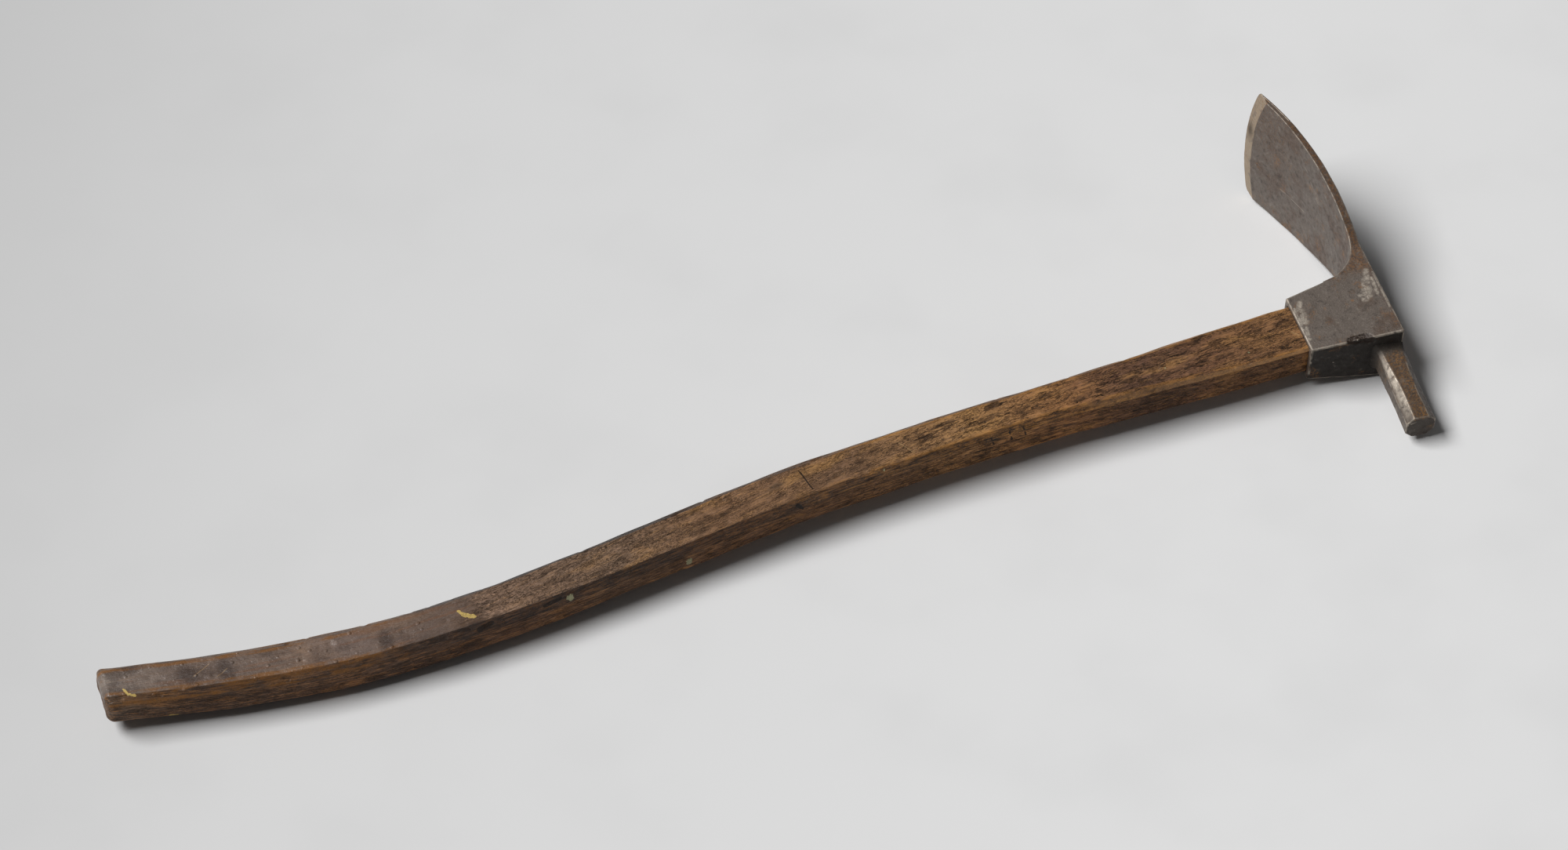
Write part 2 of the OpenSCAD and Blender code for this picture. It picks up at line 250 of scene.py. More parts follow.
@dataclass(frozen=True)
class Section:
    """A chamfered section with rounded arrises, as counts of points round it.

    Attributes:
        side: Points on each flat across the second axis.
        top: Points on each flat across the first axis.
        chamfer: Points on each chamfer.
        arc: Points on each of the eight rounded arrises.
    """

    side: int
    top: int
    chamfer: int
    arc: int = 3

    def weights(self) -> tuple[np.ndarray, np.ndarray, np.ndarray]:
        """Works out each point as a sum of half size, chamfer and radius.

        Returns:
            Weights of the first and of the second coordinate, and the facet of each point: 0 to 7 for an
            arris, and that number plus a half for the flat after it.
        """
        inset = math.sqrt(2.0) - 1.0
        steep = (np.array([1, 0, -1.0]), np.array([1, -1, -inset]))
        flat = (np.array([1, -1, -inset]), np.array([1, 0, -1.0]))
        signs = [(1, 1), (1, 1), (-1, 1), (-1, 1), (-1, -1), (-1, -1), (1, -1), (1, -1)]
        corners = [steep, flat, flat, steep, steep, flat, flat, steep]
        arcs = []
        for number, ((first, second), (sign_a, sign_b)) in enumerate(zip(corners, signs)):
            angles = np.radians(45.0 * number + np.linspace(0.0, 45.0, self.arc))
            round_a = np.stack([0 * angles, 0 * angles, np.cos(angles)], -1)
            round_b = np.stack([0 * angles, 0 * angles, np.sin(angles)], -1)
            arcs.append((sign_a * first + round_a, sign_b * second + round_b))
        rows_a, rows_b, facets = [], [], []
        for number in range(8):
            (arc_a, arc_b), (next_a, next_b) = arcs[number], arcs[(number + 1) % 8]
            count = (self.chamfer, self.top, self.chamfer, self.side)[number % 4]
            share = (np.arange(1, count + 1) / (count + 1))[:, None]
            rows_a += [arc_a, arc_a[-1] + share * (next_a[0] - arc_a[-1])]
            rows_b += [arc_b, arc_b[-1] + share * (next_b[0] - arc_b[-1])]
            facets += [np.full(self.arc, float(number)), np.full(count, number + 0.5)]
        return np.concatenate(rows_a), np.concatenate(rows_b), np.concatenate(facets)

    def ring(self, half_a: Any, half_b: Any, chamfer: Any, radius: Any) -> tuple[np.ndarray, np.ndarray]:
        """Places the points for one or many rings.

        Args:
            half_a: Half size along the first axis, a number or one per ring.
            half_b: Half size along the second axis.
            chamfer: Chamfer, measured along the axes.
            radius: Rounding of the arrises.

        Returns:
            First and second coordinates, rings by points.
        """
        weight_a, weight_b, _ = self.weights()
        half_a, half_b, chamfer, radius = np.broadcast_arrays(*np.atleast_1d(half_a, half_b, chamfer, radius))
        rest = np.stack([chamfer, radius], -1)
        first = np.concatenate([half_a[:, None], rest], -1) @ weight_a.T
        second = np.concatenate([half_b[:, None], rest], -1) @ weight_b.T
        return first, second

    def facing(self) -> np.ndarray:
        """Works out where each point's face looks.

        Returns:
            How far it looks along the second axis, from -1 to 1.
        """
        facets = self.weights()[2]
        starts = np.searchsorted(facets, facets)
        inner = (np.arange(len(facets)) - starts) / max(1, self.arc - 1)
        turned = np.where(facets % 1.0 == 0.0, facets + inner, facets + 0.5)
        return np.sin(np.radians(45.0 * turned))

    def arris(self, half_a: float, half_b: float, chamfer: float, radius: float, reach: float) -> np.ndarray:
        """Closeness of each point to the nearest arris.

        Args:
            half_a: Half size along the first axis.
            half_b: Half size along the second axis.
            chamfer: Chamfer, measured along the axes.
            radius: Rounding of the arrises.
            reach: Distance at which the closeness has faded to nothing.

        Returns:
            1 on an arris, fading to 0.
        """
        points = np.stack([c[0] for c in self.ring(half_a, half_b, chamfer, radius)], -1)
        on_arris = points[self.weights()[2] % 1.0 == 0.0]
        gap = np.linalg.norm(points[:, None] - on_arris[None], axis=-1).min(axis=1)
        return np.clip(1.0 - gap / reach, 0.0, 1.0)


def loft(
    name: str, rings: np.ndarray, marks: dict[Mark, np.ndarray], closed: bool = False
) -> bpy.types.Object:
    """Makes a piece through rings of points.

    Args:
        name: Name of the piece.
        rings: Places in metres, rings by points by three.
        marks: Point attributes, rings by points, or by three more for a place.
        closed: Joins the last ring to the first instead of capping both ends.

    Returns:
        The piece, linked to the scene, with smooth faces that point outwards.
    """
    count, around = rings.shape[:2]
    row = np.arange(count if closed else count - 1)[:, None] * around
    here, after = np.arange(around)[None], (np.arange(around)[None] + 1) % around
    above = (row + around) % (count * around)
    corners = np.broadcast_arrays(row + here, row + after, above + after, above + here)
    faces = np.stack(corners, -1).reshape(-1, 4).tolist()
    if not closed:
        faces += [list(range(around))[::-1], list(range((count - 1) * around, count * around))]
    mesh = bpy.data.meshes.new(name)
    mesh.from_pydata(rings.reshape(-1, 3).tolist(), [], faces)
    for mark, values in marks.items():
        vector = values.ndim == 3
        attribute = mesh.attributes.new(mark.value, "FLOAT_VECTOR" if vector else "FLOAT", "POINT")
        flat = np.ascontiguousarray(values, np.float32).ravel()
        attribute.data.foreach_set("vector" if vector else "value", flat)
    face_outwards(mesh)
    piece = bpy.data.objects.new(name, mesh)
    bpy.context.scene.collection.objects.link(piece)
    return piece


def face_outwards(mesh: bpy.types.Mesh) -> None:
    """Welds points that coincide, turns all faces outwards and smooths them.

    Args:
        mesh: The mesh.
    """
    shell = bmesh.new()
    shell.from_mesh(mesh)
    bmesh.ops.remove_doubles(shell, verts=shell.verts, dist=SAME_PLACE)
    bmesh.ops.recalc_face_normals(shell, faces=shell.faces)
    shell.to_mesh(mesh)
    shell.free()
    mesh.shade_smooth()


def enlist(piece: bpy.types.Object, node: str, slot: Slot) -> None:
    """Hands a finished piece to the frame and logs it.

    Args:
        piece: The piece.
        node: The CAD node that it stands for.
        slot: Its material slot; not used.
    """
    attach(piece, "root")
    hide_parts(node)
    LOG.info("piece %s: %d points", piece.name, len(piece.data.vertices))


# Finishes: each builds one procedural material.


def new_material(name: str) -> tuple[bpy.types.Material, Tree]:
    """Makes an empty node material.

    Args:
        name: Name of the real material and of how it was worked.

    Returns:
        The material and its node tree.
    """
    material = bpy.data.materials.new(name)
    material.use_nodes = True
    material.node_tree.nodes.clear()
    return material, material.node_tree


def grains(
    tree: Tree,
    place: Socket,
    size: Triple,
    detail: float = 2.0,
    twist: float = 0.0,
    seed: float = 0.0,
    rough: float = 0.5,
) -> Socket:
    """Draws noise with cells of a given size.

    Args:
        tree: The tree.
        place: Place in metres.
        size: Size of a cell along the three axes, in millimetres.
        detail: Octaves of finer noise.
        twist: Distortion of the pattern.
        seed: Shift that picks another part of the pattern.
        rough: How much the finer octaves weigh.

    Returns:
        The noise, about 0.2 to 0.8.
    """
    scale = tuple(1.0 / (MM * s) for s in size)
    cells = add(tree, "ShaderNodeVectorMath", place, scale, (seed, seed, seed), operation="MULTIPLY_ADD")
    wanted = {"Vector": cells, "Scale": 1.0, "Detail": detail, "Roughness": rough, "Distortion": twist}
    return add(tree, "ShaderNodeTexNoise", named=wanted, out="Fac")


def graded(tree: Tree, along: Socket, tones: Tones, unit: float = 1.0) -> Socket:
    """Draws a colour that changes along a line.

    Args:
        tree: The tree.
        along: Place along the line, in metres.
        tones: Places along the line and the colour there.
        unit: Metres in the unit of those places.

    Returns:
        The colour.
    """
    start, end = tones[0][0], tones[-1][0]
    share = add(tree, Step.RANGE, along, start * unit, end * unit)
    ends_first = (tones[0], tones[-1], *tones[1:-1])
    stops = [((where - start) / (end - start), linear(tone)) for where, tone in ends_first]
    return add(tree, "ShaderNodeValToRGB", share, stops=stops)


def coated(tree: Tree, colour: Socket | Colour, *coats: tuple[str | Socket | float, ...]) -> Socket:
    """Lays coats over a colour.

    Args:
        tree: The tree.
        colour: The colour below.
        coats: For each coat its colour, and then the shares whose product it covers.

    Returns:
        The colour that shows.
    """
    for tint, *shares in coats:
        share = add(tree, Step.TIMES, *shares) if len(shares) > 1 else shares[0]
        colour = add(tree, Step.LAYER, share, colour, linear(tint))
    return colour


@dataclass(frozen=True)
class Spot:
    """A soft patch: its middle and its reach along the three axes, in millimetres."""

    middle: Triple
    reach: Triple

    def mask(self, tree: Tree, place: Socket) -> Socket:
        """Draws the patch.

        Args:
            tree: The tree.
            place: Place in metres.

        Returns:
            1 in the middle of the patch, fading to 0 at its reach.
        """
        middle, reach = (tuple(c * MM for c in triple) for triple in (self.middle, self.reach))
        offset = add(tree, "ShaderNodeVectorMath", place, middle, operation="SUBTRACT")
        scaled = add(tree, "ShaderNodeVectorMath", offset, reach, operation="DIVIDE")
        length = add(tree, "ShaderNodeVectorMath", scaled, operation="LENGTH")
        return add(tree, Step.BAND, length, 1.0, CORE)


@dataclass(frozen=True)
class Scratch:
    """A straight mark: its two ends and its width, in millimetres."""

    start: Triple
    end: Triple
    width: float

    def mask(self, tree: Tree, place: Socket) -> Socket:
        """Draws the mark.

        Args:
            tree: The tree.
            place: Place in metres.

        Returns:
            1 on the mark, fading to 0 at its width.
        """
        start, run = np.array(self.start) * MM, (np.array(self.end) - np.array(self.start)) * MM
        offset = add(tree, "ShaderNodeVectorMath", place, tuple(start), operation="SUBTRACT")
        along = add(tree, "ShaderNodeVectorMath", offset, tuple(run / run.dot(run)), operation="DOT_PRODUCT")
        foot = add(tree, "ShaderNodeVectorMath", tuple(run), add(tree, Step.RANGE, along), operation="SCALE")
        gap = add(tree, "ShaderNodeVectorMath", offset, foot, operation="DISTANCE")
        return add(tree, Step.BAND, gap, self.width * MM, CORE * self.width * MM)


def spots(tree: Tree, place: Socket, patches: tuple[Spot | Scratch, ...]) -> Socket | float:
    """Largest mask of some patches or scratches, and 0 where there are none."""
    masks = [patch.mask(tree, place) for patch in patches]
    return reduce(lambda most, mask: add(tree, Step.MOST, most, mask), masks) if masks else 0.0


def frayed(tree: Tree, mask: Socket, noise: Socket) -> Socket:
    """Mask with a ragged outline: noise of about 0.5 eats into it or feeds it."""
    fed = add(tree, Step.GAIN, noise, 2.6, mask)
    return add(tree, Step.TIMES, add(tree, Step.BAND, fed, 1.72, 1.86), add(tree, Step.BAND, mask, 0.0, 0.2))


@dataclass(frozen=True)
class HaftPoint:
    """What the wood's tree knows about a point of the haft.

    Attributes:
        tree: The tree.
        place: Place along, across and up, in metres.
        leaning: The same place, leaning with the grain.
        along: Place along the haft, with ragged borders.
        across: Place across the haft.
        wear: 1 on a rubbed arris.
        facing: 1 on the upper face, 0 on the sides, -1 below.
        film: Share of the film that hands have left.
        bare: Share of wood that no film covers.
    """

    tree: Tree
    place: Socket
    leaning: Socket
    along: Socket
    across: Socket
    wear: Socket
    facing: Socket
    film: Socket
    bare: Socket

    def stretch(self, start: float, end: float, top: float = 1.0) -> Socket:
        """Share that eases from 0 at one place along the haft to top at another, in millimetres."""
        return add(self.tree, Step.BAND, self.along, start * MM, end * MM, 0.0, top)

    def turned(self, low: float, high: float, top: float = 1.0) -> Socket:
        """Share that eases from 0 where the face looks one way to top where it looks another."""
        return add(self.tree, Step.BAND, self.facing, low, high, 0.0, top)


@dataclass(frozen=True)
class OldHardwood:
    """Hardwood shaved by hand, oiled and held for years: open pores, dark blotches, a dull film at the grip.

    Places are along the haft from the eye's rim, across it and up, in millimetres.

    Attributes:
        name: Name of the real material and of how it was worked.
        tones: Places along the haft and the colour of the bare wood there.
        chamfers: Places along the haft and the stain on the chamfers there, white for none.
        sides: Places along the haft and the stain on the sides there.
        heart: Colour of dark growth rings and blotches.
        sap: Colour of light growth rings.
        pore: Colour of open pores, cracks and cuts.
        shaving: Colour of chamfers shaved clean near the head.
        murk: Colour of dirt on the film.
        glow: Colour of reddish streaks in the film.
        rub: Colour of rubbed arrises at the grip.
        edge: Colour of rubbed arrises elsewhere.
        scrape: Colour of pale scratches.
        yellow: Colour of old paint.
        chalk: Colour of pale dirt.
        wander: How far borders along the haft wander.
        grain_slope: How steeply the grain runs out of the haft's top.
        film_span: Where the film at the grip starts, and where it is full.
        film_top: Most of the wood that the film hides.
        drop_gap: Distance between hard drops in the film.
        cuts: Dark scratches and notches.
        scrapes: Pale scratches.
        smears: Dark smears on the film.
        paint: Flecks of yellow paint.
        lime: Flecks of pale dirt.
    """

    name: str = "hardwood_hand_shaved_and_oiled"
    tones: Tones = (
        (0, "#9A7049"),
        (60, "#835D42"),
        (105, "#6E4F3D"),
        (128, "#7C583F"),
        (158, "#A8774B"),
        (215, "#B18557"),
        (300, "#86654A"),
        (380, "#936E4F"),
        (450, "#8D725C"),
        (522, "#957863"),
        (552, "#6B594E"),
        (612, "#74635A"),
        (640, "#836D5E"),
        (668, "#6F5F55"),
        (705, "#6B5A50"),
        (755, "#83766C"),
    )
    chamfers: Tones = (
        (0, "#FFFFFF"),
        (160, "#E8E4DE"),
        (220, "#C4BBB2"),
        (290, "#E4DDD4"),
        (365, "#C6BAAF"),
        (435, "#A69A92"),
        (510, "#A99C94"),
        (570, "#C8BAAE"),
        (640, "#D6C4B0"),
        (755, "#D6C4B0"),
    )
    sides: Tones = (
        (0, "#FFF8F0"),
        (330, "#FFF4EA"),
        (430, "#F2E6DC"),
        (530, "#FBE6D2"),
        (755, "#FFE8D0"),
    )
    heart: str = "#3A2616"
    sap: str = "#B9894E"
    pore: str = "#1C120B"
    shaving: str = "#B58A5E"
    murk: str = "#3B2F2A"
    glow: str = "#774B28"
    rub: str = "#7E5220"
    edge: str = "#A8763C"
    scrape: str = "#B99668"
    yellow: str = "#CDB067"
    chalk: str = "#A9A883"
    wander: float = 50.0
    grain_slope: float = 0.09
    film_span: Pair = (531.0, 549.0)
    film_top: float = 0.82
    drop_gap: float = 8.0
    cuts: tuple[Scratch, ...] = (
        Scratch((326, 12.7, 10.5), (324, 4.1, 11.8), 0.7),
        Scratch((324, 4.1, 11.8), (321, -8.2, 11.8), 0.6),
        Scratch((333, -13.5, 9.0), (330, -14.5, 6.5), 1.5),
        Scratch((156, -12.3, 10.3), (149, -8, 12.8), 0.7),
        Scratch((496, -13.5, 9.3), (486, -12.8, 9.8), 1.5),
        Scratch((537, -13, 9), (529, -12.2, 10), 2.0),
        Scratch((195, -12.8, 10.4), (193.5, -14.2, 4.5), 0.9),
        Scratch((186, -12.8, 10.8), (184.5, -14.4, 4.8), 0.8),
        Scratch((207, -13, 10.2), (205.5, -14.2, 5.5), 0.7),
        Scratch((97, -11.5, 10.5), (89, -13.5, 8.5), 1.3),
    )
    scrapes: tuple[Scratch, ...] = (
        Scratch((398, 15, 7), (403, 6.5, 11.3), 0.5),
        Scratch((262, 3, 12.8), (255, -7, 12.8), 0.6),
        Scratch((703, -3, 12.2), (692, 5, 12.2), 0.3),
        Scratch((690, -5, 12.2), (683, 0, 12.2), 0.25),
        Scratch((5, -2, 11), (2, -5.5, 11), 0.9),
    )
    smears: tuple[Spot, ...] = (
        Spot((706, -2, 12), (10, 12, 8)),
        Spot((684, -1.5, 12), (8, 12, 8)),
        Spot((591, -3.4, 12.5), (7, 12, 8)),
        Spot((538, -10, 10), (9, 4, 6)),
        Spot((341, 3, 11.5), (9, 3, 4)),
        Spot((738, 9, 11), (14, 4, 5)),
    )
    paint: tuple[Scratch, ...] = (
        Scratch((545.5, 1.6, 12.3), (543, -2.5, 12.3), 1.4),
        Scratch((543.5, -1.5, 12.3), (538, -4.8, 12.3), 2.1),
        Scratch((743, -6.0, 12), (741.5, -9.5, 11.5), 1.2),
        Scratch((742, -9.0, 11.5), (738, -10.2, 11), 1.4),
        Scratch((720, -14.5, -6.5), (716, -14.5, -7.5), 1.2),
    )
    lime: tuple[Spot, ...] = (
        Spot((480, -13.8, 8.4), (3.2, 3, 3)),
        Spot((404, -16, -0.6), (3, 3, 4)),
        Spot((36, -7.5, 11), (0.9, 0.9, 2)),
        Spot((89, -1.7, 11.8), (0.8, 0.8, 2)),
        Spot((276, -11.8, 11.5), (0.9, 0.9, 2)),
    )

    def read(self, tree: Tree) -> HaftPoint:
        """Reads where a point of the haft lies.

        Args:
            tree: The tree.

        Returns:
            The point.
        """
        place = add(tree, "ShaderNodeAttribute", out="Vector", attribute_name=Mark.PLACE.value)
        wear, facing = (
            add(tree, "ShaderNodeAttribute", out="Fac", attribute_name=mark.value)
            for mark in (Mark.WEAR, Mark.FACING)
        )
        straight, across = (add(tree, "ShaderNodeSeparateXYZ", place, out=axis) for axis in (0, 1))
        ragged = grains(tree, place, (16, 7, 7), 4.0)
        along = add(tree, Step.GAIN, ragged, self.wander * MM, straight)
        along = add(tree, Step.LESS, along, 0.5 * self.wander * MM)
        start, full = self.film_span
        covered = add(tree, Step.BAND, along, start * MM, full * MM, 0.0, self.film_top)
        film = add(tree, Step.TIMES, covered, add(tree, Step.BAND, facing, 0.60, 0.80))
        bare = add(tree, Step.LESS, 1.0, film)
        lean = add(tree, "ShaderNodeCombineXYZ", 0.0, add(tree, Step.TIMES, straight, self.grain_slope))
        leaning = add(tree, "ShaderNodeVectorMath", place, lean, operation="ADD")
        return HaftPoint(tree, place, leaning, along, across, wear, facing, film, bare)

    def bare_wood(self, at: HaftPoint) -> Socket:
        """Draws bare wood: its colour along the haft, clouds, growth rings and blotches.

        Args:
            at: The point.

        Returns:
            The colour.
        """
        tree, bare = at.tree, at.bare
        # Clouds of 38 by 13 mm, from the oil.
        clouds = grains(tree, at.leaning, (38, 13, 13), 5.0, 0.3, 3.0)
        # Growth rings 16 mm long and 0.7 mm wide.
        rings = grains(tree, at.leaning, (16, 0.7, 0.9), 6.0, 0.3, 13.0, 0.72)
        late = add(tree, Step.BAND, rings, 0.52, 0.60, 0.0, 0.5)
        early = add(tree, Step.BAND, rings, 0.45, 0.38, 0.0, 0.42)
        # Blotches of 15 by 4 mm with ragged edges, heavy near the head and lighter towards the grip.
        blots = grains(tree, at.leaning, (15, 4, 4), 8.0, 0.7, 61.0, 0.78)
        blotches = add(tree, Step.BAND, blots, 0.50, 0.58)
        heavy = add(tree, Step.MOST, at.stretch(330, 240, 0.75), at.stretch(0, 10, 0.38))
        return coated(
            tree,
            graded(tree, at.along, self.tones, MM),
            (self.heart, add(tree, Step.BAND, clouds, 0.50, 0.72, 0.0, 0.5)),
            (self.sap, add(tree, Step.BAND, clouds, 0.49, 0.28, 0.0, 0.5), bare),
            (self.heart, late, add(tree, Step.BAND, bare, -0.6, 1.0)),
            (self.sap, early, bare),
            (self.heart, blotches, heavy, bare),
        )

    def curls(self, at: HaftPoint) -> Socket:
        """Draws curly figure: broken level lines, about 1 mm apart, of a swirl with cells of 5.5 by 3 mm.

        Args:
            at: The point.

        Returns:
            1 on a curl.
        """
        tree = at.tree
        swirl = add(tree, Step.TIMES, grains(tree, at.place, (5.5, 3.0, 3.0), 3.0, 0.8, 17.0, 0.55), 8.0)
        saw = add(tree, "ShaderNodeMath", swirl, 0.5, operation="PINGPONG")
        curly = add(tree, Step.MOST, at.stretch(300, 420), at.stretch(130, 180, 0.5))
        broken = add(tree, Step.BAND, grains(tree, at.place, (3.0, 1.5, 1.5), 3.0, 0.0, 19.0), 0.36, 0.62)
        lines = add(tree, Step.BAND, saw, 0.19, 0.03)
        return add(tree, Step.TIMES, lines, curly, broken, at.bare, at.turned(0.5, 0.9))

    def pores(self, at: HaftPoint) -> Socket:
        """Draws pores: crooked grooves 1.6 mm long and 0.4 mm wide, in crowds of 14 mm.

        Args:
            at: The point.

        Returns:
            1 in a pore.
        """
        tree = at.tree
        crowd = add(tree, Step.BAND, grains(tree, at.place, (14, 6, 6), 3.0, 0.3, 11.0), 0.34, 0.54)
        crooked = grains(tree, at.leaning, (1.6, 0.4, 0.4), 4.0, 0.9, 7.0, 0.7)
        return add(tree, Step.TIMES, add(tree, Step.BAND, crooked, 0.515, 0.605), crowd, at.bare)

    def cracks(self, at: HaftPoint) -> Socket:
        """Draws drying cracks towards the head: level lines, 0.3 mm wide, of noise with cells of 16 by 2 mm.

        Args:
            at: The point.

        Returns:
            1 in a crack.
        """
        tree = at.tree
        ridge = add(tree, Step.LESS, grains(tree, at.leaning, (16, 2.0, 2.0), 4.0, 0.5, 73.0, 0.6), 0.5)
        thin = add(tree, Step.BAND, add(tree, "ShaderNodeMath", ridge, operation="ABSOLUTE"), 0.022, 0.008)
        sparse = add(tree, Step.BAND, grains(tree, at.place, (11, 4, 4), 3.0, 0.3, 79.0), 0.50, 0.58)
        dried = add(tree, Step.MOST, at.stretch(330, 220), at.stretch(540, 530, 0.4))
        return add(tree, Step.TIMES, thin, sparse, dried)

    def stained(self, at: HaftPoint, colour: Socket) -> Socket:
        """Stains the chamfers and the faces below, with veins of 12 by 0.8 mm.

        Args:
            at: The point.
            colour: The colour so far.

        Returns:
            The colour that shows.
        """
        tree, low = at.tree, at.turned(0.95, 0.72)
        streaks = grains(tree, at.place, (12, 0.8, 0.8), 6.0, 0.4, 37.0, 0.72)
        veins = add(tree, Step.BAND, streaks, 0.46, 0.57, 0.0, 0.7)
        pale = add(tree, Step.BAND, streaks, 0.45, 0.38, 0.0, 0.42)
        dirty = add(tree, Step.MOST, at.stretch(80, 180), at.turned(0.55, 0.2, 0.6), at.stretch(300, -500))
        far_side = add(tree, Step.BAND, at.across, 0.0, 5.0 * MM)
        colour = coated(
            tree,
            colour,
            (self.pore, low, veins, dirty),
            (self.sap, low, pale),
            (self.shaving, low, at.turned(0.35, 0.6), at.stretch(150, 90, 0.55)),
            (self.pore, low, far_side, at.stretch(330, 420), at.stretch(590, 530), 0.5),
        )
        chamfer = add(tree, Step.TIMES, low, at.turned(0.1, 0.5))
        colour = add(tree, Step.STAIN, chamfer, colour, graded(tree, at.along, self.chamfers, MM))
        return add(tree, Step.STAIN, at.turned(0.5, 0.1), colour, graded(tree, at.along, self.sides, MM))

    def handled(self, at: HaftPoint, colour: Socket) -> Socket:
        """Lays on the film, with smears, dark clouds and reddish streaks, and rubs the arrises.

        Args:
            at: The point.
            colour: The colour so far.

        Returns:
            The colour that shows.
        """
        tree, place = at.tree, at.place
        # Clouds of 18 by 12 mm and streaks of 36 by 3 mm.
        clouds = grains(tree, place, (18, 12, 12), 5.0, 0.2, 41.0, 0.65)
        clouded = add(tree, Step.TIMES, at.film, add(tree, Step.BAND, clouds, 0.47, 0.66, 0.0, 0.85))
        murky = add(tree, Step.MOST, spots(tree, place, self.smears), clouded)
        streaks = add(tree, Step.BAND, grains(tree, place, (36, 3, 3), 4.0, 0.3, 43.0), 0.54, 0.68)
        # Rubbed arrises are amber at the grip and pale brown elsewhere, in patches of 14 by 3 mm.
        patchy = add(tree, Step.BAND, grains(tree, place, (14, 3, 3), 4.0, 0.0, 47.0, 0.6), 0.40, 0.58)
        held = add(tree, Step.BAND, at.wear, 0.15, 0.65)
        knocked = add(tree, Step.BAND, at.wear, 0.6, 1.0)
        return coated(
            tree,
            colour,
            (self.murk, murky, 0.72),
            (self.glow, at.film, streaks, 0.38),
            (self.rub, held, patchy, at.stretch(570, 610), at.turned(0.2, 0.5), 0.7),
            (self.edge, knocked, patchy, at.stretch(340, 280), at.turned(0.5, 0.75), 0.6),
        )

    def relief(self, at: HaftPoint, *sunk: tuple[Socket, float]) -> tuple[Socket, Socket]:
        """Shapes the surface: a film with pimples of 2.5 mm and hard drops of up to 3 mm, and sunk marks.

        Args:
            at: The point.
            sunk: Masks of what lies below the surface, and how deep.

        Returns:
            The bumped normal and the roughness.
        """
        tree, place = at.tree, at.place
        tooth = grains(tree, place, (2.2, 0.7, 0.7), 4.0, 0.0, 5.0)
        pimples = add(tree, Step.TIMES, grains(tree, place, (2.6, 2.2, 2.2), 2.0, 0.0, 59.0), at.film, 1.4)
        cells = {"Vector": place, "Scale": 1.0 / (self.drop_gap * MM)}
        gap = add(tree, "ShaderNodeTexVoronoi", named=cells, out="Distance")
        drops = add(tree, Step.TIMES, add(tree, Step.BAND, gap, 0.19, 0.06), at.film)
        height = add(tree, Step.GAIN, drops, 2.0, add(tree, Step.PLUS, tooth, pimples))
        for mask, depth in sunk:
            height = add(tree, Step.GAIN, mask, -depth, height)
        bump = add(tree, "ShaderNodeBump", named={"Strength": 0.8, "Distance": 0.4 * MM, "Height": height})
        dull = add(tree, Step.RANGE, tooth, 0.3, 0.7, 0.36, 0.55)
        return bump, add(tree, Step.GAIN, at.film, -0.16, dull)

    def build(self) -> bpy.types.Material:
        """Builds the material.

        Returns:
            The material, which reads its place along, across and up the haft.
        """
        material, tree = new_material(self.name)
        at = self.read(tree)
        curls, pores, cracks = self.curls(at), self.pores(at), self.cracks(at)
        colour = coated(
            tree,
            self.bare_wood(at),
            (self.heart, curls, 0.72),
            (self.pore, pores, 0.7),
            (self.pore, cracks, 0.85),
        )
        colour = self.handled(at, self.stained(at, colour))
        # Single marks have torn outlines, with teeth of 1.5 by 1 mm.
        torn = grains(tree, at.place, (1.5, 1.0, 1.0), 5.0, 0.3, 53.0, 0.6)
        cuts = frayed(tree, add(tree, Step.BAND, spots(tree, at.place, self.cuts), 0.0, 0.5), torn)
        marks = (self.scrapes, self.paint, self.lime)
        scrapes, paint, lime = (frayed(tree, spots(tree, at.place, each), torn) for each in marks)
        colour = coated(
            tree,
            colour,
            (self.pore, cuts, 0.88),
            (self.scrape, scrapes, 0.42),
            (self.yellow, paint, 0.9),
            (self.chalk, lime, 0.75),
        )
        normal, rough = self.relief(at, (pores, 0.9), (curls, 1.0), (cracks, 1.8), (cuts, 2.2))
        gloss = add(tree, Step.RANGE, at.facing, 0.0, 0.9, 0.15, 0.4)
        wanted = {"Base Color": colour, "Roughness": rough, "Normal": normal, "Specular IOR Level": gloss}
        add(tree, "ShaderNodeOutputMaterial", add(tree, "ShaderNodeBsdfPrincipled", named=wanted))
        return material


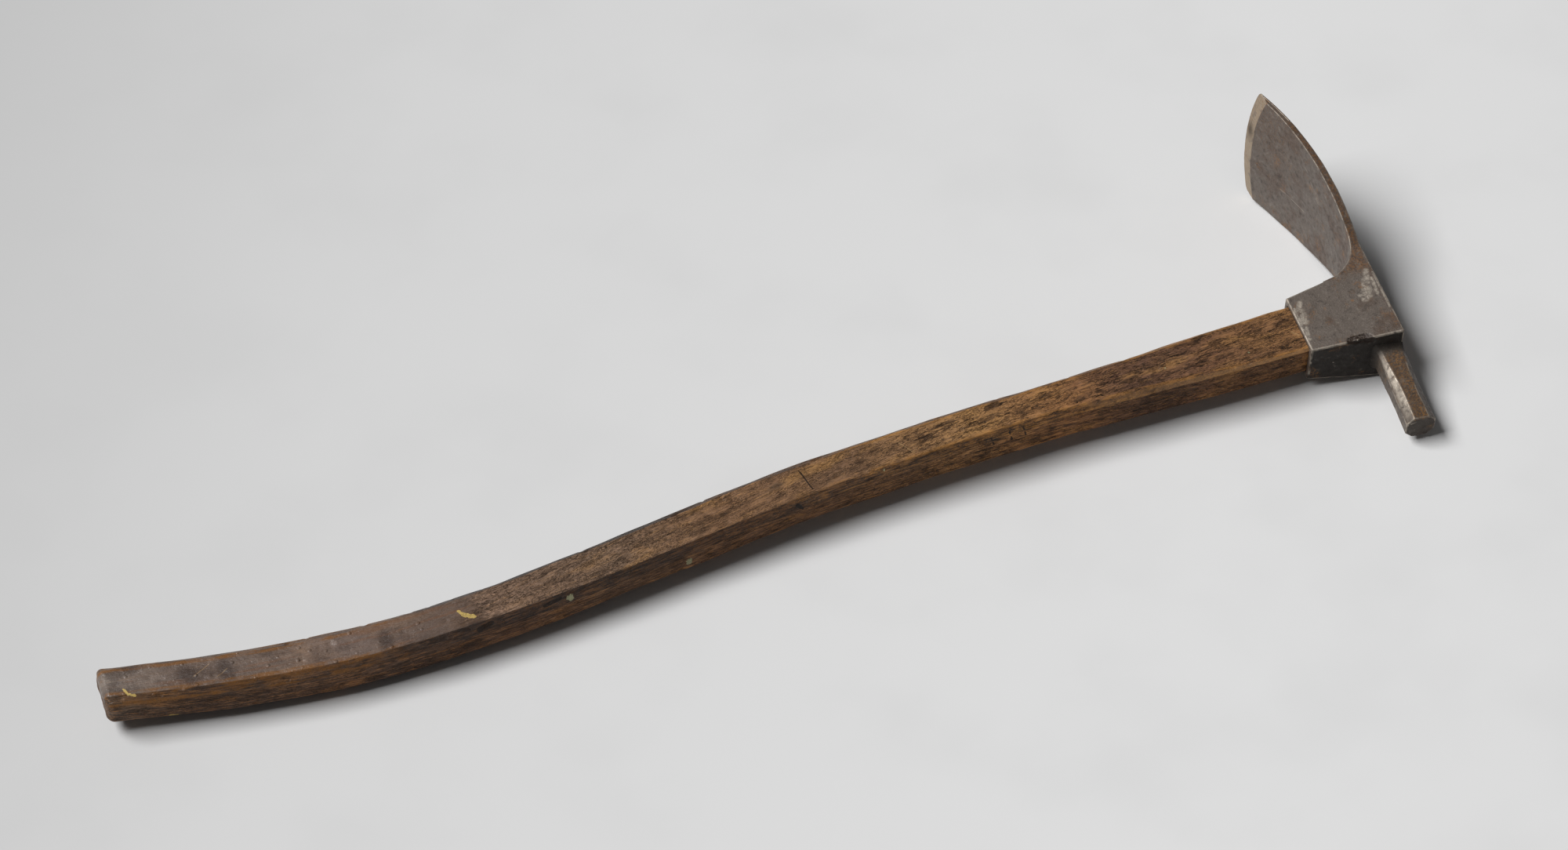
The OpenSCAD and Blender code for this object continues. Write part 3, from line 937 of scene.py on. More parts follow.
@dataclass(frozen=True)
class ForgedIron:
    """Wrought iron forged by hand, browned by age: mottled scale, fine rust and rubbed bright arrises.

    Places are in the tool frame, in millimetres.

    Attributes:
        name: Name of the real material and of how it was worked.
        base: Colour of the grey patina.
        brown: Colour of the brown patina.
        dark: Colour of scale and dirt.
        rust: Colour of rust flecks.
        bright: Colour of rubbed metal, and of the highlight painted on the peg's chamfer.
        ground: Colour of the ground bevel.
        soot: Colour of sooty old oil, and of the shade painted on the poll and on the peg.
        gape: Colour of rust deep in the open weld.
        worn: Strokes that knocks have rubbed bright.
        rusted: Patches of rust.
        lines: Pale scratches.
    """

    name: str
    base: str = "#675D55"
    brown: str = "#58463A"
    dark: str = "#2A221D"
    rust: str = "#8A6036"
    bright: str = "#B9AEA0"
    ground: str = "#A08D76"
    soot: str = "#17110B"
    gape: str = "#2A1C12"
    worn: tuple[Scratch, ...] = ()
    rusted: tuple[Spot, ...] = ()
    lines: tuple[Scratch, ...] = ()

    def build(self) -> bpy.types.Material:
        """Builds the material.

        Returns:
            The material, which reads its place in the tool frame.
        """
        material, tree = new_material(self.name)
        place = add(tree, "ShaderNodeAttribute", out="Vector", attribute_name=Mark.PLACE.value)
        wear, ground, polish, seam, soot, browned = (
            add(tree, "ShaderNodeAttribute", out="Fac", attribute_name=mark.value)
            for mark in (Mark.WEAR, Mark.GROUND, Mark.PAINTED_HIGHLIGHT, Mark.SEAM, Mark.SOOT_AND_SHADE, Mark.BROWN)
        )
        # Patina clouds of 22 mm, scale patches of 3.5 mm and pits of 1 mm.
        clouds = grains(tree, place, (22, 22, 22), 6.0, 0.4, 1.0, 0.6)
        scale = grains(tree, place, (3.5, 3.5, 3.5), 6.0, 0.3, 4.0, 0.6)
        pits = grains(tree, place, (1.0, 1.0, 1.0), 4.0, 0.0, 9.0)
        aged = add(tree, Step.TIMES, browned, add(tree, Step.BAND, scale, 0.30, 0.52))
        base = coated(
            tree,
            linear(self.base),
            (self.brown, add(tree, Step.MOST, add(tree, Step.BAND, clouds, 0.48, 0.64, 0.0, 0.8), aged)),
            (self.dark, add(tree, Step.BAND, scale, 0.50, 0.72, 0.0, 0.55)),
            (self.bright, add(tree, Step.BAND, scale, 0.44, 0.26, 0.0, 0.16)),
            (self.dark, add(tree, Step.BAND, pits, 0.56, 0.74, 0.0, 0.4)),
        )
        # Scratches 18 mm long, drawn 0.3 mm wide so that they show, in two directions.
        for axis, angle, tint, share in (
            ((0.3, 0.2, 1.0), 1.1, self.bright, 0.2),
            ((1.0, 0.3, 0.2), 0.7, self.dark, 0.3),
        ):
            turn = add(tree, "ShaderNodeVectorRotate", named={"Vector": place, "Axis": axis, "Angle": angle})
            hair = grains(tree, turn, (0.32, 18.0, 0.32), 2.0, 0.0, 31.0 + angle)
            base = coated(tree, base, (tint, add(tree, Step.BAND, hair, 0.56, 0.70, 0.0, share)))
        # The bevel is tan, streaked along the stroke of the stone, with stale patches of 7 mm.
        strokes = grains(tree, place, (1.2, 7.0, 0.5), 4.0, 0.2, 19.0)
        stale = grains(tree, place, (7, 7, 7), 5.0, 0.4, 67.0, 0.6)
        tan = coated(
            tree,
            linear(self.ground),
            (self.dark, add(tree, Step.BAND, strokes, 0.50, 0.78, 0.0, 0.4)),
            (self.base, add(tree, Step.BAND, stale, 0.56, 0.64, 0.0, 0.75)),
        )
        base = add(tree, Step.LAYER, add(tree, Step.TIMES, ground, 0.92), base, tan)
        # Rust: flecks of 1.4 mm in herds of 9 mm, and larger patches.
        herd = add(tree, Step.BAND, grains(tree, place, (9, 9, 9), 5.0, 0.3, 21.0), 0.54, 0.70, 0.0, 0.7)
        patches = spots(tree, place, self.rusted)
        rusty = add(tree, Step.MOST, herd, patches, add(tree, Step.TIMES, browned, 0.6))
        flecks = add(tree, Step.BAND, grains(tree, place, (1.4, 1.4, 1.4), 5.0, 0.3, 25.0, 0.6), 0.44, 0.60)
        # Bright metal on arrises, along strokes and scratches, and a highlight painted on the peg's chamfer,
        # but not in the weld.
        patchy = add(tree, Step.BAND, grains(tree, place, (5, 5, 5), 4.0, 0.0, 35.0), 0.34, 0.60)
        scuffs = add(tree, Step.BAND, grains(tree, place, (2.6, 2.6, 2.6), 8.0, 0.3, 39.0, 0.76), 0.34, 0.62)
        # This bright mask holds rubbed metal and the painted highlight.
        rubbed = add(
            tree,
            Step.MOST,
            add(tree, Step.TIMES, add(tree, Step.BAND, wear, 0.75, 1.0), patchy, 0.62),
            add(tree, Step.TIMES, polish, add(tree, Step.BAND, scale, 0.72, 0.42), 0.85),
            add(tree, Step.TIMES, spots(tree, place, self.worn), scuffs, 0.95),
            add(tree, Step.TIMES, spots(tree, place, self.lines), patchy, 0.55),
        )
        rubbed = add(tree, Step.TIMES, rubbed, add(tree, Step.BAND, seam, 0.15, 0.0))
        # Soot and oil, and the shade painted on the poll and the peg, lie thick in the hollows.
        base = coated(
            tree,
            base,
            (self.soot, soot, add(tree, Step.BAND, scale, -0.1, 0.45), 0.9),
            (self.rust, rusty, flecks, 0.7),
            (self.bright, rubbed),
            (self.gape, add(tree, Step.BAND, seam, 0.0, 0.3), add(tree, Step.BAND, pits, 0.72, 0.40)),
        )
        rough = add(tree, Step.GAIN, soot, 0.25, add(tree, Step.RANGE, scale, 0.3, 0.7, 0.42, 0.60))
        metal = add(tree, Step.GAIN, rubbed, 0.5, 0.22)
        height = add(tree, Step.GAIN, scale, 2.0, pits)
        bump = add(tree, "ShaderNodeBump", named={"Strength": 0.5, "Distance": 0.25 * MM, "Height": height})
        wanted = {"Base Color": base, "Metallic": metal, "Roughness": rough, "Normal": bump}
        add(tree, "ShaderNodeOutputMaterial", add(tree, "ShaderNodeBsdfPrincipled", named=wanted))
        return material


@dataclass(frozen=True)
class DryWedge:
    """Wood or iron driven into the haft's end: end grain or scale, dull with dust.

    Attributes:
        name: Name of the real material and of how it was worked.
        base: Colour of the face.
        dark: Colour of the grain or scale.
        metal: Share of metal.
        size: Size of the grain, in millimetres.
    """

    name: str
    base: str
    dark: str
    metal: float
    size: Triple

    def build(self) -> bpy.types.Material:
        """Builds the material.

        Returns:
            The material, which reads Object coordinates.
        """
        material, tree = new_material(self.name)
        place = add(tree, "ShaderNodeTexCoord", out="Object")
        grain = grains(tree, place, self.size, 4.0, 0.3)
        base = coated(tree, linear(self.base), (self.dark, add(tree, Step.BAND, grain, 0.45, 0.65, 0.0, 0.8)))
        rough = add(tree, Step.RANGE, grain, 0.3, 0.7, 0.55, 0.8)
        bump = add(tree, "ShaderNodeBump", named={"Strength": 0.5, "Distance": 0.3 * MM, "Height": grain})
        wanted = {"Base Color": base, "Metallic": self.metal, "Roughness": rough, "Normal": bump}
        add(tree, "ShaderNodeOutputMaterial", add(tree, "ShaderNodeBsdfPrincipled", named=wanted))
        return material


# Sub-assemblies: each builds its pieces.


@dataclass
class Haft:
    """The S-curved haft, swept by a rule along its middle line.

    Attributes:
        length: From the eye's rim to the butt.
        middle: Places along the haft, the middle line's offset there and its slope.
        width: Places along the haft and the width there.
        thick: Places along the haft and the thickness there.
        chamfer: Places along the haft and the chamfer there.
        eye_len: Length of the eye.
        tenon: Length of the tenon in the eye.
        flare: Growth of width and thickness along the whole eye.
        butt_round: Rounding of the butt's edge.
        arris: Rounding of the long arrises in the eye and past the neck.
        neck: Length over which that rounding grows.
        worn_size: Half width, half thickness, chamfer and rounding that wear on arrises is worked out for.
        worn_reach: How far that wear spreads from an arris.
        facet_depth: Depth of the flats left by the drawknife.
        dent_depth: Depth of knocks.
        smooth_from: How far from the rim flats and knocks are at their full depth.
        section: Counts of points round the haft.
    """

    length: float = 755.0
    middle: tuple[Triple, ...] = ((0, 0, -0.05), (300, -18.5, -0.1), (605, -57, 0), (755, -40, 0.17))
    width: Knots = ((0, 35.6), (180, 28), (400, 32), (605, 29.5), (755, 29))
    thick: Knots = ((0, 22.2), (180, 26.5), (400, 22.5), (605, 25), (755, 24))
    chamfer: Knots = ((0, 1.6), (180, 4), (400, 5), (755, 5))
    eye_len: float = 57.0
    tenon: float = 56.4
    flare: float = 14.0
    butt_round: float = 4.0
    arris: Pair = (0.6, 1.4)
    neck: float = 100.0
    worn_size: tuple[float, float, float, float] = (15.0, 12.0, 4.5, 1.2)
    worn_reach: float = 3.5
    facet_depth: float = 0.55
    dent_depth: float = 0.6
    smooth_from: float = 12.0
    section: Section = Section(side=12, top=17, chamfer=6)

    def stations(self) -> np.ndarray:
        """Lists the rings of the sweep.

        Returns:
            For each ring its place along the haft, its inset and its scale.
        """
        turn = np.linspace(0.0, QUARTER_TURN, 9)[1:]
        start = self.length - self.butt_round
        far = [(-self.tenon, 0.0, scale) for scale in (0.1, 0.4, 0.7, 0.92)]
        hidden = [(s, 0.0, 1.0) for s in np.linspace(-self.tenon, -1.0, 24)]
        shaft = [(s, 0.0, 1.0) for s in np.arange(0.0, start + 0.5, 1.0)]
        edge = self.butt_round
        butt = [(start + edge * math.sin(a), edge * (1.0 - math.cos(a)), 1.0) for a in turn]
        face = [(self.length, edge, scale) for scale in (0.93, 0.8, 0.6, 0.4, 0.2)]
        return np.array(far + hidden + shaft + butt + face)

    def base_grid(self) -> bpy.types.Object:
        """Makes the grid that the sweep shapes, with its place in the sweep on each point.

        Returns:
            The grid, a plain round bar.
        """
        rings = self.stations()
        weight_a, weight_b, _ = self.section.weights()
        count, around = len(rings), len(weight_a)
        angles = np.linspace(0.0, 2.0 * math.pi, around, endpoint=False)
        # The bar tapers at its ends, so that no two points of the grid are one.
        spread = (1.0 - 0.8 * (rings[:, 2:] < 1.0) * (1.0 - rings[:, 2:])) * 10.0 * MM
        bar = (-rings[:, :1] * MM, spread * np.cos(angles), spread * np.sin(angles))
        grid = loft("haft_worn", np.stack(np.broadcast_arrays(*bar), -1), {})
        near = self.section.arris(*self.worn_size, self.worn_reach)
        floats = {
            "along": np.repeat(rings[:, 0] * MM, around),
            "inset": np.repeat(rings[:, 1] * MM, around),
            "scale": np.repeat(rings[:, 2], around),
            Mark.WEAR.value: (near * (rings[:, 2:] == 1.0)).ravel(),
            Mark.FACING.value: np.tile(self.section.facing(), count),
        }
        for name, values in floats.items():
            attribute = grid.data.attributes.new(name, "FLOAT", "POINT")
            attribute.data.foreach_set("value", values.astype(np.float32))
        for name, weights in (("across_rule", weight_a), ("up_rule", weight_b)):
            attribute = grid.data.attributes.new(name, "FLOAT_VECTOR", "POINT")
            attribute.data.foreach_set("vector", np.tile(weights, (count, 1)).astype(np.float32).ravel())
        return grid

    def profile(self, tree: Tree, along: Socket, knots: Knots) -> Socket:
        """Half of a size that eases from knot to knot.

        Args:
            tree: The sweep's tree.
            along: Place along the haft.
            knots: Places and sizes, in millimetres.

        Returns:
            Half of the size, in metres.
        """
        total: Socket | float = 0.5 * MM * knots[0][1]
        for (start, size), (end, next_size) in zip(knots, knots[1:]):
            growth = 0.5 * MM * (next_size - size)
            step = add(tree, Step.BAND, along, start * MM, end * MM, 0.0, growth)
            total = add(tree, Step.PLUS, step, total)
        return total

    def middle_line(self, tree: Tree, along: Socket) -> Socket:
        """Offset of the middle line, a smooth curve through knots with slopes.

        Args:
            tree: The sweep's tree.
            along: Place along the haft.

        Returns:
            The offset, in metres.
        """
        total: Socket | float = MM * self.middle[0][1]
        for (start, offset, slope), (end, next_offset, next_slope) in zip(self.middle, self.middle[1:]):
            run = MM * (end - start)
            share = add(tree, Step.RANGE, along, start * MM, end * MM)
            rest = add(tree, Step.LESS, 1.0, share)
            step = add(tree, Step.BAND, share, 0.0, 1.0, 0.0, MM * (next_offset - offset))
            leave = add(tree, Step.TIMES, share, rest, rest, run * slope)
            arrive = add(tree, Step.TIMES, share, share, rest, -run * next_slope)
            for part in (step, leave, arrive):
                total = add(tree, Step.PLUS, part, total)
        return total

    def offsets(self, tree: Tree, along: Socket) -> list[Socket]:
        """How far each point stands from the middle line.

        Args:
            tree: The sweep's tree.
            along: Place along the haft.

        Returns:
            The distances across and up, in metres.
        """
        read = "GeometryNodeInputNamedAttribute"
        inset, scale = (add(tree, read, name, data_type="FLOAT") for name in ("inset", "scale"))
        flare = add(tree, Step.RANGE, along, 0.0, -self.eye_len * MM, 0.0, 0.5 * self.flare * MM)
        doubled = add(tree, Step.TIMES, self.profile(tree, along, self.chamfer), 2.0)
        chamfer = add(tree, Step.LESS, doubled, add(tree, Step.TIMES, inset, ROUND_CORNER))
        radius = add(tree, Step.RANGE, along, 0.0, self.neck * MM, *(r * MM for r in self.arris))
        made = []
        for knots, rule in ((self.width, "across_rule"), (self.thick, "up_rule")):
            grown = add(tree, Step.PLUS, self.profile(tree, along, knots), flare)
            half = add(tree, Step.LESS, grown, inset)
            sizes = add(tree, "ShaderNodeCombineXYZ", half, chamfer, radius)
            weights = add(tree, read, rule, data_type="FLOAT_VECTOR")
            part = add(tree, "ShaderNodeVectorMath", sizes, weights, operation="DOT_PRODUCT")
            made.append(add(tree, Step.TIMES, part, scale))
        return made

    def sweep(self) -> Tree:
        """Builds the sweep's tree.

        Returns:
            A tree that shapes the grid into the haft, in the tool frame, in metres.
        """
        tree = bpy.data.node_groups.new("haft_sweep", "GeometryNodeTree")
        for name, kind in (
            ("Geometry", "NodeSocketGeometry"),
            ("Facet Depth", "NodeSocketFloat"),
            ("Dent Depth", "NodeSocketFloat"),
            ("Material", "NodeSocketMaterial"),
        ):
            tree.interface.new_socket(name, in_out="INPUT", socket_type=kind)
        tree.interface.new_socket("Geometry", in_out="OUTPUT", socket_type="NodeSocketGeometry")
        given = {s.name: s for s in add(tree, "NodeGroupInput").node.outputs}
        along = add(tree, "GeometryNodeInputNamedAttribute", "along", data_type="FLOAT")
        across, up = self.offsets(tree, along)
        place = add(tree, "ShaderNodeCombineXYZ", along, across, up)
        side = add(tree, Step.PLUS, across, self.middle_line(tree, along))
        spot = add(tree, "ShaderNodeCombineXYZ", add(tree, Step.TIMES, along, -1.0), side, up)
        shaped = add(tree, "GeometryNodeSetPosition", named={"Geometry": given["Geometry"], "Position": spot})
        stored = {"Geometry": shaped, "Name": Mark.PLACE.value, "Value": place}
        kept = add(
            tree, "GeometryNodeStoreNamedAttribute", named=stored, data_type="FLOAT_VECTOR", domain="POINT"
        )
        # Drawknife flats are about 40 mm long and 9 mm wide, knocks about 8 mm.
        flats = add(tree, Step.LESS, grains(tree, place, (42, 9, 9), 1.0, 0.0, 2.0), 0.5)
        knocks = add(tree, Step.BAND, grains(tree, place, (9, 7, 7), 1.5, 0.0, 31.0), 0.62, 0.74)
        lift = add(tree, Step.TIMES, flats, given["Facet Depth"], 4.0)
        drop = add(tree, Step.TIMES, knocks, given["Dent Depth"])
        free = add(tree, Step.BAND, along, 0.0, self.smooth_from * MM)
        push = add(tree, Step.TIMES, add(tree, Step.LESS, lift, drop), free)
        normal = add(tree, "GeometryNodeInputNormal")
        moved = add(tree, "ShaderNodeVectorMath", normal, push, operation="SCALE")
        worked = add(tree, "GeometryNodeSetPosition", named={"Geometry": kept, "Offset": moved})
        real = add(tree, "GeometryNodeRealizeInstances", worked)
        dressed = add(
            tree, "GeometryNodeSetMaterial", named={"Geometry": real, "Material": given["Material"]}
        )
        add(tree, "NodeGroupOutput", dressed)
        return tree

    def build(self) -> bpy.types.Object:
        """Builds and enlists the haft.

        Returns:
            The piece.
        """
        piece = self.base_grid()
        modifier = piece.modifiers.new("sweep", "NODES")
        modifier.node_group = self.sweep()
        items = modifier.node_group.interface.items_tree
        sockets = {item.name: item.identifier for item in items if item.in_out == "INPUT"}
        modifier[sockets["Facet Depth"]] = self.facet_depth * MM
        modifier[sockets["Dent Depth"]] = self.dent_depth * MM
        modifier[sockets["Material"]] = OldHardwood().build()
        shaped = bpy.data.meshes.new_from_object(piece.evaluated_get(bpy.context.evaluated_depsgraph_get()))
        piece.modifiers.clear()
        piece.data = shaped
        places = np.empty(len(shaped.vertices) * 3, np.float32)
        shaped.vertices.foreach_get("co", places)
        laid = LAID.place(places.reshape(-1, 3).astype(float) / MM)
        shaped.vertices.foreach_set("co", laid.astype(np.float32).ravel())
        face_outwards(shaped)
        for name in ("along", "inset", "scale", "across_rule", "up_rule"):
            shaped.attributes.remove(shaped.attributes[name])
        enlist(piece, "haft", Slot.WOOD)
        return piece


@dataclass
class EyeBlock:
    """The forged socket, flared from its rim to its far end.

    Attributes:
        length: Length of the eye.
        rim_w: Width at the rim.
        rim_t: Thickness at the rim.
        far_w: Width at the far end.
        far_t: Thickness at the far end.
        side_wall: Wall towards the blade and towards the peg.
        cheek_wall: Wall of the cheeks.
        arris: Rounding of the long arrises.
        lip: Rounding of the rim and of the far edge.
        hammer: Depth of hammer marks.
        seam: From where to where the weld gapes along the eye.
        seam_depth: Depth of the open weld.
        seam_fade: Length over which the weld closes at either end.
        rooted: Where along the eye the blade starts to grow out of the block, and where it fully has.
        sharp: Rounding of an arris that the blade's root fills.
        brown_x: Where along the eye the block turns brown towards the blade.
        brown_y: Where it turns brown across the block.
        worn_size: Half width and half thickness that the wear on the arrises is worked out for.
        worn_reach: How far that wear spreads from an arris.
        end_reach: How far it spreads from the rim and from the far edge.
        section: Counts of points round the block.
    """

    length: float = 57.0
    rim_w: float = 43.0
    rim_t: float = 28.0
    far_w: float = 57.0
    far_t: float = 42.0
    side_wall: float = 3.6
    cheek_wall: float = 2.8
    arris: float = 0.9
    lip: float = 0.7
    hammer: float = 0.16
    seam: Pair = (23.0, 39.0)
    seam_depth: float = 1.1
    seam_fade: float = 4.0
    rooted: Pair = (27.0, 31.0)
    sharp: float = 0.1
    brown_x: Pair = (30.0, 50.0)
    brown_y: Pair = (19.0, 29.0)
    worn_size: Pair = (25.0, 17.5)
    worn_reach: float = 2.0
    end_reach: float = 2.5
    section: Section = Section(side=44, top=60, chamfer=0, arc=4)

    def side_y(self, x: Any) -> Any:
        """Half width of the block at a place along the eye."""
        return 0.5 * (self.rim_w + (self.far_w - self.rim_w) * x / self.length)

    def cheek_z(self, x: Any) -> Any:
        """Half thickness of the block at a place along the eye."""
        return 0.5 * (self.rim_t + (self.far_t - self.rim_t) * x / self.length)

    def stations(self) -> np.ndarray:
        """Lists the rings from the rim along the outside, over the far end and back through the eye.

        Returns:
            For each ring its place along the eye, its inset, its share of the walls and its nearness to an
            end edge.
        """
        turn = np.linspace(0.0, QUARTER_TURN, 5)
        lip = [(self.lip * (1.0 - math.sin(a)), self.lip * (1.0 - math.cos(a)), 0.0, 1.0) for a in turn[::-1]]
        outer = []
        for x in np.linspace(self.lip, self.length - self.lip, 62)[1:-1]:
            near = 1.0 - min(x - self.lip, self.length - self.lip - x) / self.end_reach
            outer.append((x, 0.0, 0.0, max(0.0, near)))
        far = [(self.length - x, inset, wall, near) for x, inset, wall, near in lip[::-1]]
        walls = [(self.length, self.lip * (1.0 - w), w, 1.0 - w) for w in (0.25, 0.5, 0.75, 1.0)]
        inner = [(x, 0.0, 1.0, 0.0) for x in np.linspace(self.length, 0.0, 20)[1:]]
        rim = [(0.0, self.lip * (1.0 - w), w, 1.0 - w) for w in (0.66, 0.33)]
        return np.array(lip + outer + far + walls + inner + rim)

    def build(self) -> bpy.types.Object:
        """Builds and enlists the block.

        Returns:
            The piece.
        """
        rings = self.stations()
        x, inset, wall, near_end = rings.T
        half_y = self.side_y(x) - inset - wall * self.side_wall
        half_z = self.cheek_z(x) - inset - wall * self.cheek_wall
        radius = np.maximum(self.arris - 0.6 * inset - 0.5 * wall, 0.4)
        y, z = self.section.ring(half_y, half_z, ROUND_CORNER * radius, radius)
        # Where the blade grows out of the block there is no arris, so the corner is filled.
        full_y, full_z = self.section.ring(half_y, half_z, ROUND_CORNER * self.sharp, self.sharp)
        outside = (1.0 - wall)[:, None]
        rooted = ease(x, *self.rooted)[:, None] * (y > 0.0) * outside
        y, z = y + rooted * (full_y - y), z + rooted * (full_z - z)
        points = np.stack([np.broadcast_to(x[:, None], y.shape), y, z], -1)
        near = self.section.arris(*self.worn_size, ROUND_CORNER * self.arris, self.arris, self.worn_reach)
        wear = np.maximum(near[None] * (1.0 - rooted), near_end[:, None])
        away = np.stack([0 * y, y / np.abs(y).max(), z / np.abs(z).max()], -1)
        away /= np.linalg.norm(away, axis=-1, keepdims=True) + TINY
        # Hammer marks are 9 mm across, with smaller ones of 3.5 mm among them.
        swell = self.hammer * (smooth_noise(points, 9.0, 4) + 0.5 * smooth_noise(points, 3.5, 5)) * outside
        seam = self.open_weld(points) * outside
        points = points + away * (swell - self.seam_depth * seam)[..., None]
        facet = self.section.weights()[2]
        # The poll, which is the flat after arris 3, is painted dark as shade, for it looks away from the
        # light.
        poll = ease(self.side_y(x)[:, None] + y, 0.9, 0.2) * ((facet > 2.9) & (facet < 4.1))
        marks = {
            Mark.PLACE: points * MM,
            Mark.WEAR: wear,
            Mark.SEAM: seam,
            Mark.SOOT_AND_SHADE: poll * outside,
            Mark.BROWN: ease(y, *self.brown_y) * ease(x, *self.brown_x)[:, None],
        }
        piece = loft("eye_block_forged", LAID.place(points), marks, closed=True)
        piece.data.materials.append(self.finish().build())
        enlist(piece, "eye_block", Slot.IRON)
        return piece

    def open_weld(self, points: np.ndarray) -> np.ndarray:
        """How deep the open weld is along the upper arris on the peg's side.

        Args:
            points: Places in the tool frame.

        Returns:
            1 in the deepest part, 0 away from it.
        """
        x, y, z = points[..., 0], points[..., 1], points[..., 2]
        ragged = 2.2 * smooth_noise(points, 4.0, 8) + 1.2 * smooth_noise(points, 1.7, 9)
        below = self.cheek_z(x) - z + 0.35 * (y + self.side_y(x)) + ragged
        first, last = self.seam
        ends = ease(x + ragged, first, first + self.seam_fade) * ease(x + ragged, last, last - self.seam_fade)
        beside = ease(y, -self.side_y(x) + 5.0, -self.side_y(x) + 2.5)
        return ends * ease(np.abs(below - 1.6), 2.4, 0.6) * beside

    def finish(self) -> ForgedIron:
        """Chooses the block's finish.

        Returns:
            The finish, with the strokes that knocks have rubbed bright.
        """
        rubbed = (
            Scratch((44.0, 2.5, 19.4), (49.0, 9.0, 20.0), 3.2),
            Scratch((45.5, 8.0, 19.6), (49.0, 16.5, 20.0), 2.6),
            Scratch((50.0, 14.5, 20.1), (52.5, 22.5, 20.5), 2.6),
            Scratch((42.0, 6.5, 19.2), (48.0, 3.5, 19.9), 1.8),
            Scratch((52.5, 4.0, 20.5), (53.5, 16.0, 20.6), 1.6),
            Scratch((55.6, -8.0, 20.8), (55.8, 20.0, 20.9), 1.0),
            Scratch((4.3, 0.5, 14.5), (5.2, 8.5, 14.6), 3.2),
            Scratch((4.0, 10.0, 14.5), (6.5, 15.0, 14.8), 2.4),
            Scratch((2.0, -12.5, 14.2), (3.0, -4.0, 14.4), 1.8),
            Scratch((1.4, -5.0, 14.2), (1.8, 12.0, 14.2), 1.3),
        )
        rusted = (
            Spot((36.6, 4.6, 18.5), (1.6, 1.6, 2)),
            Spot((54.8, -19.1, 20.7), (2.5, 5, 2)),
            Spot((54, 27, 10), (4, 4, 14)),
        )
        specks = (
            Scratch((33.9, 24.6, 18.2), (34.6, 24.6, 18.2), 0.5),
            Scratch((14.5, -23.3, -0.3), (15.2, -23.3, -0.6), 0.5),
        )
        return ForgedIron("wrought_iron_forged_block", worn=rubbed, rusted=rusted, lines=specks)


